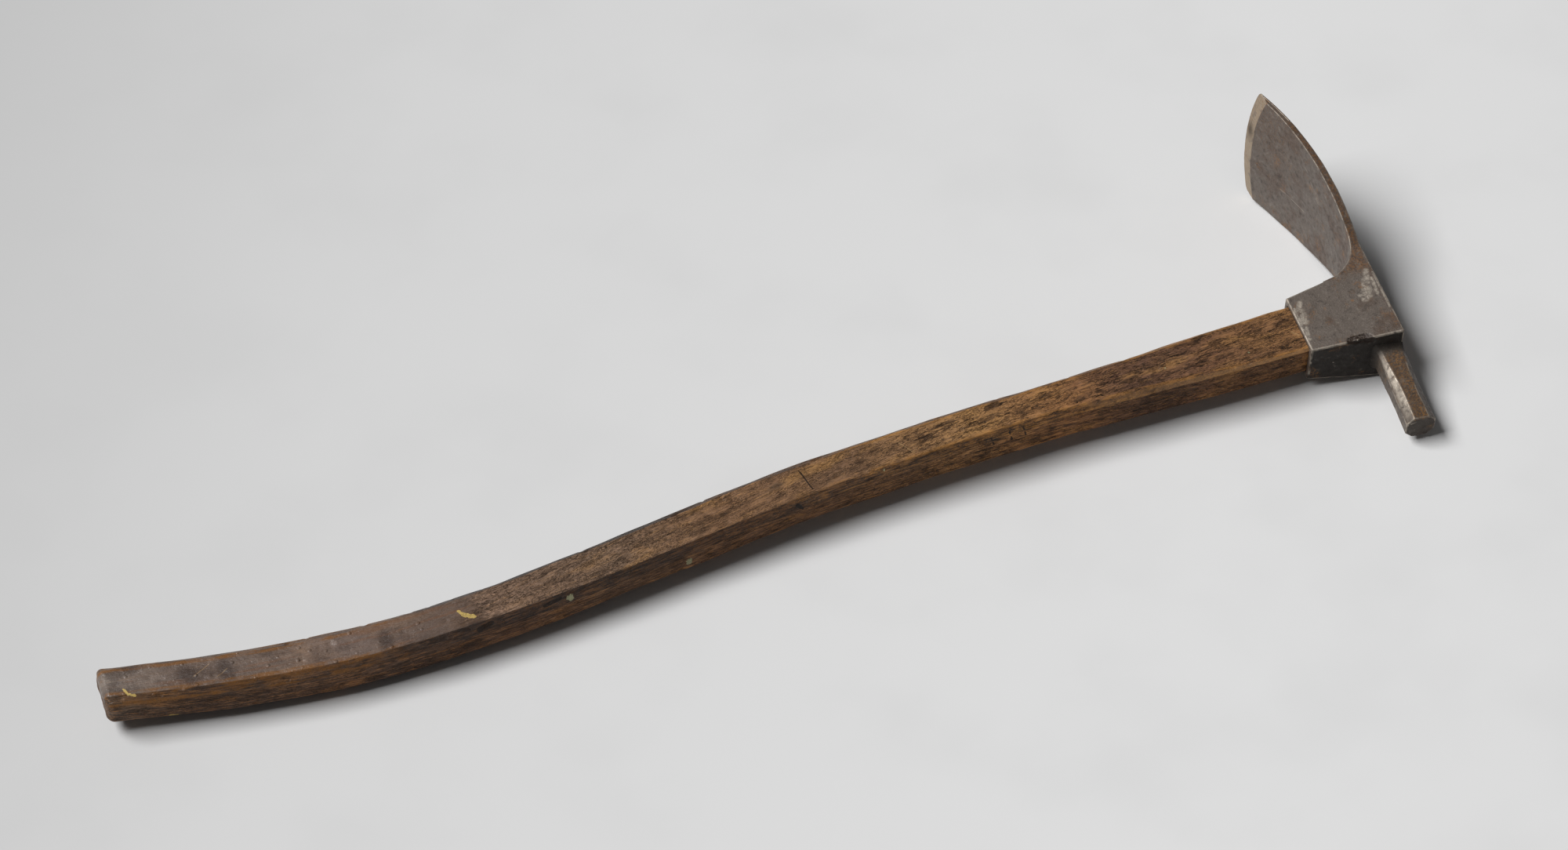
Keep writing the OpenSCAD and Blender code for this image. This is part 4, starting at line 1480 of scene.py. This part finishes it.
@dataclass
class Blade:
    """The fan-shaped blade and the steel laid on its outer face.

    Attributes:
        eye: The block that the blade is welded to.
        reach: From the eye's middle to the edge.
        edge_w: Width at the edge.
        root_t: Thickness next to the block.
        tip_t: Thickness that the inner face would leave at the edge.
        outer_r: Radius of the outer face.
        outer_start: Where the outer face leaves the far end's plane.
        fan_start: Where the fan starts to widen.
        fan_swell: How early the fan widens.
        root_r: Fillet between blade and block.
        bevel_r: Hollow of the bevel across the blade.
        bevel_lean: Lean of the bevel, in degrees.
        steel_depth: How far the steel reaches from the edge.
        steel_t: Thickness of the steel.
        iron_back: How far the iron stays back from the steel's edge.
        arris: Rounding of the long arrises.
        hammer: Depth of hammer marks.
        sunk_y: Where the sheet starts, inside the block.
        first_y: Where the search for a row's place along the blade starts.
        ground_from: Where along the blade the bevel may start.
        bevel_span: Between which places the bevel can meet a face.
        worn_size: Half width and half thickness that the wear on the arrises is worked out for.
        worn_reach: How far that wear spreads from an arris.
        worn_top: Most of that wear.
        flank_brown: From where to where along the blade its narrow sides turn brown.
        face_brown: From where to where its face turns brown towards the edge.
        side_brown: From where to where its face turns brown across it.
        smudge: Middle of a sooty smudge on the bevel, along and across the blade.
        smudge_reach: Reach of that smudge.
        section: Counts of points round the sheet.
    """

    eye: EyeBlock
    reach: float = 162.5
    edge_w: float = 92.0
    root_t: float = 5.4
    tip_t: float = 3.2
    outer_r: float = 266.0
    outer_start: float = 48.0
    fan_start: float = 43.0
    fan_swell: float = 1.9
    root_r: float = 26.0
    bevel_r: float = 460.0
    bevel_lean: float = 3.0
    steel_depth: float = 32.0
    steel_t: float = 1.3
    iron_back: float = 0.35
    arris: float = 0.5
    hammer: float = 0.12
    sunk_y: float = 23.0
    first_y: float = 90.0
    ground_from: float = 118.0
    bevel_span: Pair = (120.0, 176.0)
    worn_size: Pair = (35.0, 2.0)
    worn_reach: float = 1.6
    worn_top: float = 0.89
    flank_brown: Pair = (150.0, 120.0)
    face_brown: Pair = (95.0, 145.0)
    side_brown: Pair = (-20.0, 30.0)
    smudge: Pair = (158.5, 10.0)
    smudge_reach: Pair = (4.0, 7.0)
    section: Section = Section(side=5, top=110, chamfer=0)

    def __post_init__(self) -> None:
        """Works out the centres of the two faces."""
        slope = 0.5 * (self.eye.far_w - self.eye.rim_w) / self.eye.length
        self.inner_start = self.eye.length - self.root_t
        root_x = self.inner_start - self.root_r
        self.root_c = (root_x, self.eye.side_y(root_x) + self.root_r * math.hypot(1.0, slope))
        self.outer_c = (self.eye.length - self.outer_r, self.outer_start)
        self.edge_x = self.outer_c[0] + math.sqrt(self.outer_r**2 - (self.reach - self.outer_start) ** 2)
        drop, rise = self.inner_start - (self.edge_x - self.tip_t), self.reach - self.root_c[1]
        self.inner_r = (drop * drop + rise * rise) / (2.0 * drop)
        self.corner_y = self.reach_at(self.outer_x, np.array([0.5 * self.edge_w]))[0]

    def outer_x(self, y: np.ndarray, under: float = 0.0) -> np.ndarray:
        """Outer face, or a layer under it."""
        rise = np.maximum(0.0, y - self.outer_start)
        return self.outer_c[0] + np.sqrt((self.outer_r - under) ** 2 - rise * rise)

    def steel_x(self, y: np.ndarray) -> np.ndarray:
        """Face between the iron and the steel."""
        return self.outer_x(y, self.steel_t)

    def inner_x(self, y: np.ndarray) -> np.ndarray:
        """Works out the inner face: the root's fillet, then an arc towards the edge.

        Args:
            y: Places along the blade.

        Returns:
            The face's x at each place.
        """
        rise = y - self.root_c[1]
        fillet = self.root_c[0] + np.sqrt(np.maximum(0.0, self.root_r**2 - np.minimum(rise, 0.0) ** 2))
        arc = self.inner_start - self.inner_r + np.sqrt(self.inner_r**2 - np.maximum(rise, 0.0) ** 2)
        return np.where(rise < 0.0, fillet, arc)

    def bevel_x(self, y: np.ndarray, z: np.ndarray) -> np.ndarray:
        """Works out the ground bevel, hollow across the blade and leaning away from the edge.

        Args:
            y: Places along the blade.
            z: Places across the blade.

        Returns:
            The bevel's x at each place.
        """
        lean = math.radians(self.bevel_lean)
        sag = (self.bevel_r - np.sqrt(self.bevel_r**2 - z * z)) / math.cos(lean)
        return self.edge_x + sag + math.tan(lean) * (self.reach - y)

    def reach_at(self, face: Callable[[np.ndarray], np.ndarray], z: np.ndarray) -> np.ndarray:
        """Finds where the bevel meets a face.

        Args:
            face: The face's x for a y.
            z: Places across the blade.

        Returns:
            The y of the meeting line at each place.
        """
        low, high = (np.full(z.shape, y) for y in self.bevel_span)
        for _ in range(40):
            half = 0.5 * (low + high)
            over = self.bevel_x(half, z) > face(half)
            low, high = np.where(over, low, half), np.where(over, half, high)
        return 0.5 * (low + high)

    def half_width(self, y: np.ndarray) -> np.ndarray:
        """Works out the fan's half width, with waves 17 mm long and 0.3 mm high that the hammer left.

        Args:
            y: Places along the blade.

        Returns:
            The half width at each place.
        """
        root = self.eye.cheek_z(self.inner_start)
        share = np.clip((y - self.fan_start) / (self.corner_y - self.fan_start), 0.0, 1.05)
        rest = np.sign(1.0 - share) * np.abs(1.0 - share) ** self.fan_swell
        free = ease(y, 50.0, 70.0) * ease(y, 152.0, 140.0)
        wave = smooth_noise(np.stack([0 * y, y, 0 * y], -1), 17.0, 12) * free
        return root + (0.5 * self.edge_w - root) * (1.0 - rest) + 0.3 * wave

    def edge_y(self, z: np.ndarray) -> np.ndarray:
        """Works out the cutting edge, with worn corners and small nicks.

        Args:
            z: Places across the blade.

        Returns:
            The edge's y at each place.
        """
        line = np.stack([0 * z, 0 * z, z], -1)
        small = 0.22 * np.maximum(0.0, smooth_noise(line, 3.0, 13))
        large = 0.15 * np.maximum(0.0, smooth_noise(line, 8.0, 14))
        worn = 1.3 * ease(np.abs(z), 42.5, 46.5) ** 2
        return self.reach_at(self.outer_x, z) - (small + large) - worn

    def steel_start(self, z: np.ndarray) -> np.ndarray:
        """The weld line of the steel, a little ragged."""
        line = np.stack([0 * z, 0 * z, z], -1)
        return self.reach - self.steel_depth + 0.7 * smooth_noise(line, 7.0, 15)

    def panel(
        self, rows: list[tuple[Callable, Callable, int]], inner: Callable, outer: Callable
    ) -> tuple[np.ndarray, np.ndarray, np.ndarray]:
        """Places the points of a sheet between two faces.

        Args:
            rows: Bands from one line across the blade to the next, with their counts of rows.
            inner: Inner face's x for y and z.
            outer: Outer face's x for y.

        Returns:
            Places in the tool frame, and the closeness to an arris and the facet of each point of a row.
        """
        weight_a, weight_b, facet = self.section.weights()
        top = self.section.ring(1.0, 1.0, 0.0, 0.0)[0][0]
        places = []
        for start, end, count in rows:
            for share in np.linspace(0.0, 1.0, count, endpoint=(end is rows[-1][1])):
                # The width depends on the place along the blade, which bends with the width: six rounds do.
                y = np.full(top.shape, self.first_y)
                for _ in range(6):
                    half = self.half_width(y)
                    z = np.clip(top, -1.0, 1.0) * half
                    y = start(z) + share * (end(z) - start(z))
                inside, outside = inner(y, z), outer(y)
                thick = np.maximum(outside - inside, 0.1)
                radius = np.minimum(self.arris, 0.45 * thick)
                sizes = np.stack([half, ROUND_CORNER * radius, radius], -1)
                across = (sizes * weight_a).sum(-1)
                sizes[:, 0] = 0.5 * thick
                depth = (sizes * weight_b).sum(-1)
                x = outside - 0.5 * thick + depth
                # Below the fan the sides run flush with the cheeks, and then dive under them.
                flush = self.eye.cheek_z(x) / self.eye.cheek_z(self.inner_start) - 1.0
                across = across * (1.0 + flush * ease(y, self.fan_start + 6.0, self.fan_start - 4.0))
                across -= np.sign(across) * 0.8 * ease(self.eye.side_y(x) - y, -0.2, 2.0)
                places.append(np.stack([x, y, across], -1))
        near = self.section.arris(*self.worn_size, ROUND_CORNER * self.arris, self.arris, self.worn_reach)
        return np.array(places), near, facet

    def build(self) -> list[bpy.types.Object]:
        """Builds and enlists the blade's iron and its steel.

        Returns:
            The two pieces.
        """
        line = {
            "root": lambda z: 0 * z + self.sunk_y,
            "weld": self.steel_start,
            "crease": lambda z: self.reach_at(self.inner_x, z),
            "iron": lambda z: self.reach_at(self.steel_x, z) - self.iron_back,
            "edge": self.edge_y,
        }

        def inside(y: np.ndarray, z: np.ndarray) -> np.ndarray:
            """Inner face, ground away at the bevel."""
            ground = np.maximum(self.inner_x(y), self.bevel_x(y, z))
            return np.where(y < self.ground_from, self.inner_x(y), ground)

        def iron_outside(y: np.ndarray) -> np.ndarray:
            """Outer face, let in for the steel."""
            start = self.reach - self.steel_depth
            return self.outer_x(y) - self.steel_t * ease(y, start - 0.7, start + 0.7)

        def steel_inside(y: np.ndarray, z: np.ndarray) -> np.ndarray:
            """Face on the iron, then the bevel."""
            return np.maximum(self.steel_x(y) + 0.02, self.bevel_x(y, z))

        iron_rows = [
            (line["root"], line["weld"], 120),
            (line["weld"], line["crease"], 34),
            (line["crease"], line["iron"], 12),
        ]
        steel_rows = [(line["weld"], line["iron"], 40), (line["iron"], line["edge"], 10)]
        made = []
        for name, rows, inner, outer, node, slot in (
            ("blade_forged", iron_rows, inside, iron_outside, "blade", Slot.IRON),
            ("edge_steel_ground", steel_rows, steel_inside, self.outer_x, "edge_steel", Slot.STEEL),
        ):
            points, near, facet = self.panel(rows, inner, outer)
            y, z = points[..., 1], points[..., 2]
            # The bevel lies past the crease on the inner face, which is the flat after arris 5.
            ground = (y > line["crease"](z) - 0.01) & (facet > 4.9) & (facet < 6.1)
            if slot is Slot.IRON:
                push = self.hammer * smooth_noise(points, 8.0, 16) * ease(y, 48.0, 60.0)
                points = points + np.stack([push * (1.0 - ground), 0 * push, 0 * push], -1)
            flank = ((facet == 3.5) | (facet == 7.5)) * ease(y, *self.flank_brown)
            face = 0.4 * ease(y, *self.face_brown) * ease(z, *self.side_brown)
            spread = zip((y, z), self.smudge, self.smudge_reach)
            away = sum(((at - middle) / reach) ** 2 for at, middle, reach in spread)
            marks = {
                Mark.PLACE: points * MM,
                Mark.WEAR: np.broadcast_to(self.worn_top * near[None], y.shape),
                Mark.GROUND: ground.astype(float),
                Mark.SOOT_AND_SHADE: 0.8 * np.exp(-away),
                Mark.BROWN: np.maximum(flank, face),
            }
            piece = loft(name, LAID.place(points), marks)
            piece.data.materials.append(self.finish(slot).build())
            enlist(piece, node, slot)
            made.append(piece)
        return made

    def finish(self, slot: Slot) -> ForgedIron:
        """Chooses the finish of the iron or of the steel.

        Args:
            slot: Which of the two.

        Returns:
            The finish.
        """
        if slot is Slot.STEEL:
            return ForgedIron("edge_steel_laid_and_ground", base="#7D7064")
        rusted = (
            Spot((44.1, 116.3, -41.7), (4, 6, 5)),
            Spot((47.1, 101.6, -36.1), (4, 7, 5)),
            Spot((47.6, 98.5, 14.8), (3, 5, 4)),
            Spot((51.6, 51, 3.3), (3, 4, 3.5)),
            Spot((40.0, 133.0, 6.0), (4, 7, 8)),
            Spot((52.0, 66.0, 33.0), (4, 14, 3)),
        )
        lines = (
            Scratch((40.2, 131.1, -15.1), (47.8, 97.3, -10.2), 0.5),
            Scratch((45.2, 114.4, 28.3), (46.8, 103.4, 24.3), 0.7),
            Scratch((47.5, 99.5, 19.7), (48.6, 90.4, 13.5), 0.6),
            Scratch((48.6, 92.4, 12.0), (50.0, 81.4, 6.9), 0.6),
            Scratch((47.0, 103.0, 17.0), (49.4, 86.0, 11.0), 0.35),
        )
        return ForgedIron("wrought_iron_forged_blade", rusted=rusted, lines=lines)


@dataclass
class PollPeg:
    """The chamfered square peg on the poll.

    Attributes:
        root: Middle of its root on the block.
        lean: Lean away from the far end, in degrees.
        length: Its length.
        root_w: Width at the root.
        end_w: Width at the end.
        thick: Thickness across the head.
        chamfer: Chamfer along its four arrises.
        arris: Rounding of the arrises.
        end_round: Rounding of the end's edge.
        sunk: How far its root reaches into the block.
        fillet: How far its root flares onto the block.
        far_x: Where the flare stops, flush with the block's far end.
        hammer: Depths of hammer marks of 7 mm and of smaller ones of 2.5 mm.
        worn_reach: How far the wear on the arrises spreads.
        section: Counts of points round the peg.
    """

    root: Triple = (48.75, -27.487, 0.0)
    lean: float = 2.5
    length: float = 58.0
    root_w: float = 16.5
    end_w: float = 18.5
    thick: float = 17.0
    chamfer: float = 4.5
    arris: float = 0.6
    end_round: float = 0.9
    sunk: float = 2.5
    fillet: float = 2.4
    far_x: float = 56.9
    hammer: Pair = (0.22, 0.1)
    worn_reach: float = 1.6
    section: Section = Section(side=14, top=14, chamfer=9)

    def stations(self) -> np.ndarray:
        """Lists the rings from the root to the end.

        Returns:
            For each ring its place down the peg, its inset and its scale.
        """
        turn = np.linspace(0.0, QUARTER_TURN, 7)[1:]
        stop, edge = self.length - self.end_round, self.end_round
        shaft = [(v, 0.0, 1.0) for v in np.linspace(-self.sunk, stop, 110)]
        rim = [(stop + edge * math.sin(a), edge * (1.0 - math.cos(a)), 1.0) for a in turn]
        face = [(self.length + 0.25 * (1.0 - s), edge, s) for s in (0.9, 0.7, 0.5, 0.3, 0.12)]
        return np.array(shaft + rim + face)

    def marks(self, down: np.ndarray, inset: np.ndarray, scale: np.ndarray) -> dict[Mark, np.ndarray]:
        """Works out where the peg is worn, where a highlight and shade are painted on it, and where it is
        brown.

        Args:
            down: Place of each ring down the peg.
            inset: Its inset.
            scale: Its scale.

        Returns:
            Point attributes, rings by points.
        """
        facet = self.section.weights()[2]
        full, stop = scale == 1.0, self.length - self.end_round
        half = 0.5 * self.thick
        near = self.section.arris(half, half, self.chamfer, self.arris, self.worn_reach)
        face = full * ease(down, 5.0, 14.0)
        rim = ease(down, stop - 0.6, stop) * full * ease(inset, self.end_round, 0.3 * self.end_round)
        # A highlight is painted in a stripe on the chamfer between arrises 2 and 3, which faces the light,
        # and fades towards the end.
        highlight_chamfer = (facet >= 2.0) & (facet <= 3.0)
        share = (np.arange(len(facet)) - np.flatnonzero(highlight_chamfer)[0]) / (np.count_nonzero(highlight_chamfer) - 1.0)
        stripe = ease(np.abs(share - 0.34), 0.55, 0.2) * highlight_chamfer
        shine = ease(down, 2.0, 16.0) * (0.45 + 0.55 * ease(down, 56.0, 36.0)) * ease(down, 57.0, 52.0)
        # Shade is painted dark where the peg meets the block and on its end face, which looks away from the
        # light.
        soot = np.maximum(ease(down, 9.0, 0.0), 0.55 * (inset > 0.95 * self.end_round))
        # The upper face, which is the flat after arris 1, is brown.
        top = ((facet > 0.9) & (facet < 2.1)) * (ease(down, 2.0, 12.0) * full)[:, None]
        return {
            Mark.WEAR: np.maximum(near * face[:, None], rim[:, None]),
            Mark.PAINTED_HIGHLIGHT: stripe * shine[:, None],
            Mark.SOOT_AND_SHADE: np.broadcast_to(soot[:, None], top.shape),
            Mark.BROWN: top,
        }

    def build(self) -> bpy.types.Object:
        """Builds and enlists the peg.

        Returns:
            The piece.
        """
        down, inset, scale = self.stations().T
        grown = self.fillet * ease(down, 6.0, -1.0) ** 2
        width = self.root_w + (self.end_w - self.root_w) * np.clip(down, 0.0, None) / self.length
        half_u = 0.5 * width - inset + grown
        chamfer = self.chamfer * (0.45 + 0.55 * ease(down, 0.0, 40.0)) - ROUND_CORNER * inset
        u, z = self.section.ring(half_u, 0.5 * self.thick - inset + grown, chamfer, self.arris)
        u, z = u * scale[:, None], z * scale[:, None]
        lean = math.radians(self.lean)
        along = np.array([-math.sin(lean), -math.cos(lean), 0.0])
        across = np.array([math.cos(lean), -math.sin(lean), 0.0])
        away = u[..., None] * across + z[..., None] * np.array([0.0, 0.0, 1.0])
        points = np.array(self.root) + down[:, None, None] * along + away
        points[..., 0] = np.minimum(points[..., 0], self.far_x)
        away /= np.linalg.norm(away, axis=-1, keepdims=True) + TINY
        large, small = self.hammer
        swell = large * smooth_noise(points, 7.0, 21) + small * smooth_noise(points, 2.5, 22)
        free = ease(down, 0.0, 4.0) * ease(inset, 0.9 * self.end_round, 0.0)
        points = points + away * (swell * free[:, None])[..., None]
        marks = {Mark.PLACE: points * MM} | self.marks(down, inset, scale)
        piece = loft("poll_peg_forged", LAID.place(points), marks)
        piece.data.materials.append(self.finish().build())
        enlist(piece, "poll_peg", Slot.PEG)
        return piece

    def finish(self) -> ForgedIron:
        """Chooses the peg's finish.

        Returns:
            The finish, browner than the block's, with ochre rust on the upper face.
        """
        rusted = (
            Spot((48.4, -81.1, 8.5), (6, 9, 3)),
            Spot((49.0, -60.0, 8.5), (6, 12, 3)),
            Spot((50.0, -40.0, 8.5), (6, 10, 3)),
        )
        flecks = (
            Scratch((37.5, -75.8, 3.1), (37.4, -76.8, 2.6), 0.9),
            Scratch((39.6, -85.1, 4.6), (42.6, -85.3, 5.6), 0.8),
        )
        tints = {"base": "#5E544B", "brown": "#56463A", "rust": "#8E6638"}
        return ForgedIron("wrought_iron_forged_peg", **tints, rusted=rusted, lines=flecks)


@dataclass
class Wedges:
    """The wedges in the haft's end, which keep their CAD shapes."""

    def dress(self) -> None:
        """Gives the wedges their materials."""
        wood = DryWedge("oak_wedge_driven", "#8A6A42", "#4F3A22", 0.0, (6.0, 0.7, 1.2))
        iron = DryWedge("iron_wedges_driven", "#55504A", "#2F2823", 0.5, (1.5, 1.5, 1.5))
        for node, finish in (("wood_wedge", wood), ("iron_wedges", iron)):
            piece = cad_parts[node]
            piece.data.materials.clear()
            piece.data.materials.append(finish.build())
            LOG.info("piece %s: CAD shape", node)


@dataclass
class Studio:
    """Pale floor, one large soft light from the left and above, and the camera.

    Attributes:
        floor: Half size of the floor, in metres.
        fall: Direction on the floor from its dim corner to its fair one.
        paper: Places along that direction, in metres, and the floor's colour there.
        cloud: Colour of faint clouds in the paper.
        key_level: What the large light adds on the floor, where 1 shows a colour as it is written.
        key_turn: The large light's bearing from +X and its height above the floor, in degrees.
        key_away: Its distance, in metres.
        key_spread: Its width and height as seen from the floor, in degrees.
        ambient: Level of the even light from all round.
        camera: Where the camera stands, in metres.
        right: Direction of the picture's right side.
        up: Direction of the picture's upper side.
        lens: Focal length, in millimetres.
        sensor: Width of the sensor, in millimetres.
        sight: How far the camera sees, in metres.
    """

    floor: float = 5.0
    fall: Triple = (0.906, -0.423, 0.0)
    paper: Tones = (
        (-0.55, "#C2C2C2"),
        (-0.25, "#D5D5D5"),
        (0.0, "#DDDDDD"),
        (0.3, "#E5E5E5"),
        (0.65, "#E8E8E8"),
    )
    cloud: str = "#B4B4B4"
    key_level: float = 0.98
    key_turn: Pair = (168.0, 56.0)
    key_away: float = 10.0
    key_spread: Pair = (40.0, 25.0)
    ambient: float = 0.08
    camera: Triple = (-0.618212, -2.142224, 2.160778)
    right: Triple = (0.94864219, -0.3151935, -0.02703812)
    up: Triple = (0.23644409, 0.64964841, 0.72253106)
    lens: float = 118.1105
    sensor: float = 36.0
    sight: float = 30.0

    def lay_floor(self) -> None:
        """Lays the paper floor."""
        half = self.floor
        mesh = bpy.data.meshes.new("paper_floor")
        corners = [(-half, -half, 0), (half, -half, 0), (half, half, 0), (-half, half, 0)]
        mesh.from_pydata(corners, [], [(0, 1, 2, 3)])
        floor = bpy.data.objects.new("paper_floor", mesh)
        bpy.context.scene.collection.objects.link(floor)
        material, tree = new_material("paper_smooth_matt")
        place = add(tree, "ShaderNodeTexCoord", out="Object")
        across = add(tree, "ShaderNodeVectorMath", place, self.fall, operation="DOT_PRODUCT")
        # Faint clouds 120 mm across and paper tooth of 2 mm keep the paper from looking drawn.
        clouds = grains(tree, place, (120, 120, 120), 3.0)
        cloudy = add(tree, Step.BAND, clouds, 0.4, 0.75, 0.0, 0.10)
        tone = coated(tree, graded(tree, across, self.paper), (self.cloud, cloudy))
        tooth = grains(tree, place, (2.0, 2.0, 2.0), 2.0)
        bump = add(tree, "ShaderNodeBump", named={"Strength": 0.08, "Distance": 0.2 * MM, "Height": tooth})
        wanted = {"Base Color": tone, "Roughness": 0.9, "Specular IOR Level": 0.1, "Normal": bump}
        add(tree, "ShaderNodeOutputMaterial", add(tree, "ShaderNodeBsdfPrincipled", named=wanted))
        mesh.materials.append(material)
        floor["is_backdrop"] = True

    def hang_lights(self) -> None:
        """Hangs the large light and sets the even one."""
        scene = bpy.context.scene
        scene.world = bpy.data.worlds.new("studio")
        scene.world.use_nodes = True
        tree = scene.world.node_tree
        tree.nodes.clear()
        light = add(tree, "ShaderNodeBackground", linear("#FFFFFF"), self.ambient)
        add(tree, "ShaderNodeOutputWorld", light)
        bearing, height = (math.radians(a) for a in self.key_turn)
        wide, tall = (2.0 * self.key_away * math.tan(math.radians(a) / 2.0) for a in self.key_spread)
        key = bpy.data.lights.new("key", "AREA")
        key.shape, key.size, key.size_y = "RECTANGLE", wide, tall
        key.energy = self.key_level * (math.pi * self.key_away) ** 2 / math.sin(height)
        lamp = bpy.data.objects.new("key", key)
        towards = Vector((math.cos(bearing), math.sin(bearing), math.tan(height)))
        lamp.location = towards.normalized() * self.key_away
        lamp.rotation_euler = (-towards).to_track_quat("-Z", "Y").to_euler()
        scene.collection.objects.link(lamp)

    def set_camera(self) -> None:
        """Sets the camera."""
        scene = bpy.context.scene
        lens = bpy.data.cameras.new("portrait")
        lens.lens, lens.sensor_width, lens.sensor_fit = self.lens, self.sensor, "HORIZONTAL"
        lens.clip_end = self.sight
        camera = bpy.data.objects.new("portrait", lens)
        right, up = Vector(self.right), Vector(self.up)
        turn = Matrix((right, up, right.cross(up))).transposed().to_4x4()
        camera.matrix_world = Matrix.Translation(self.camera) @ turn
        scene.collection.objects.link(camera)
        scene.camera = camera

    def build(self) -> None:
        """Builds the floor, the lights and the camera."""
        self.lay_floor()
        self.hang_lights()
        self.set_camera()


def write_sizes() -> None:
    """Works out the box of the CAD model and the box of the dressed one, and keeps neither.
    """
    boxes = {"cad": CAD_BOX, "scene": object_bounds()}
    {name: [list(corner) for corner in box] for name, box in boxes.items()}


def main() -> None:
    """Builds the sub-assemblies in order."""
    logging.basicConfig(level=logging.INFO)
    bpy.context.scene.view_settings.view_transform = "Standard"
    eye = EyeBlock()
    Haft().build()
    eye.build()
    Blade(eye).build()
    PollPeg().build()
    Wedges().dress()
    Studio().build()


if __name__ == "__main__":
    main()
    write_sizes()
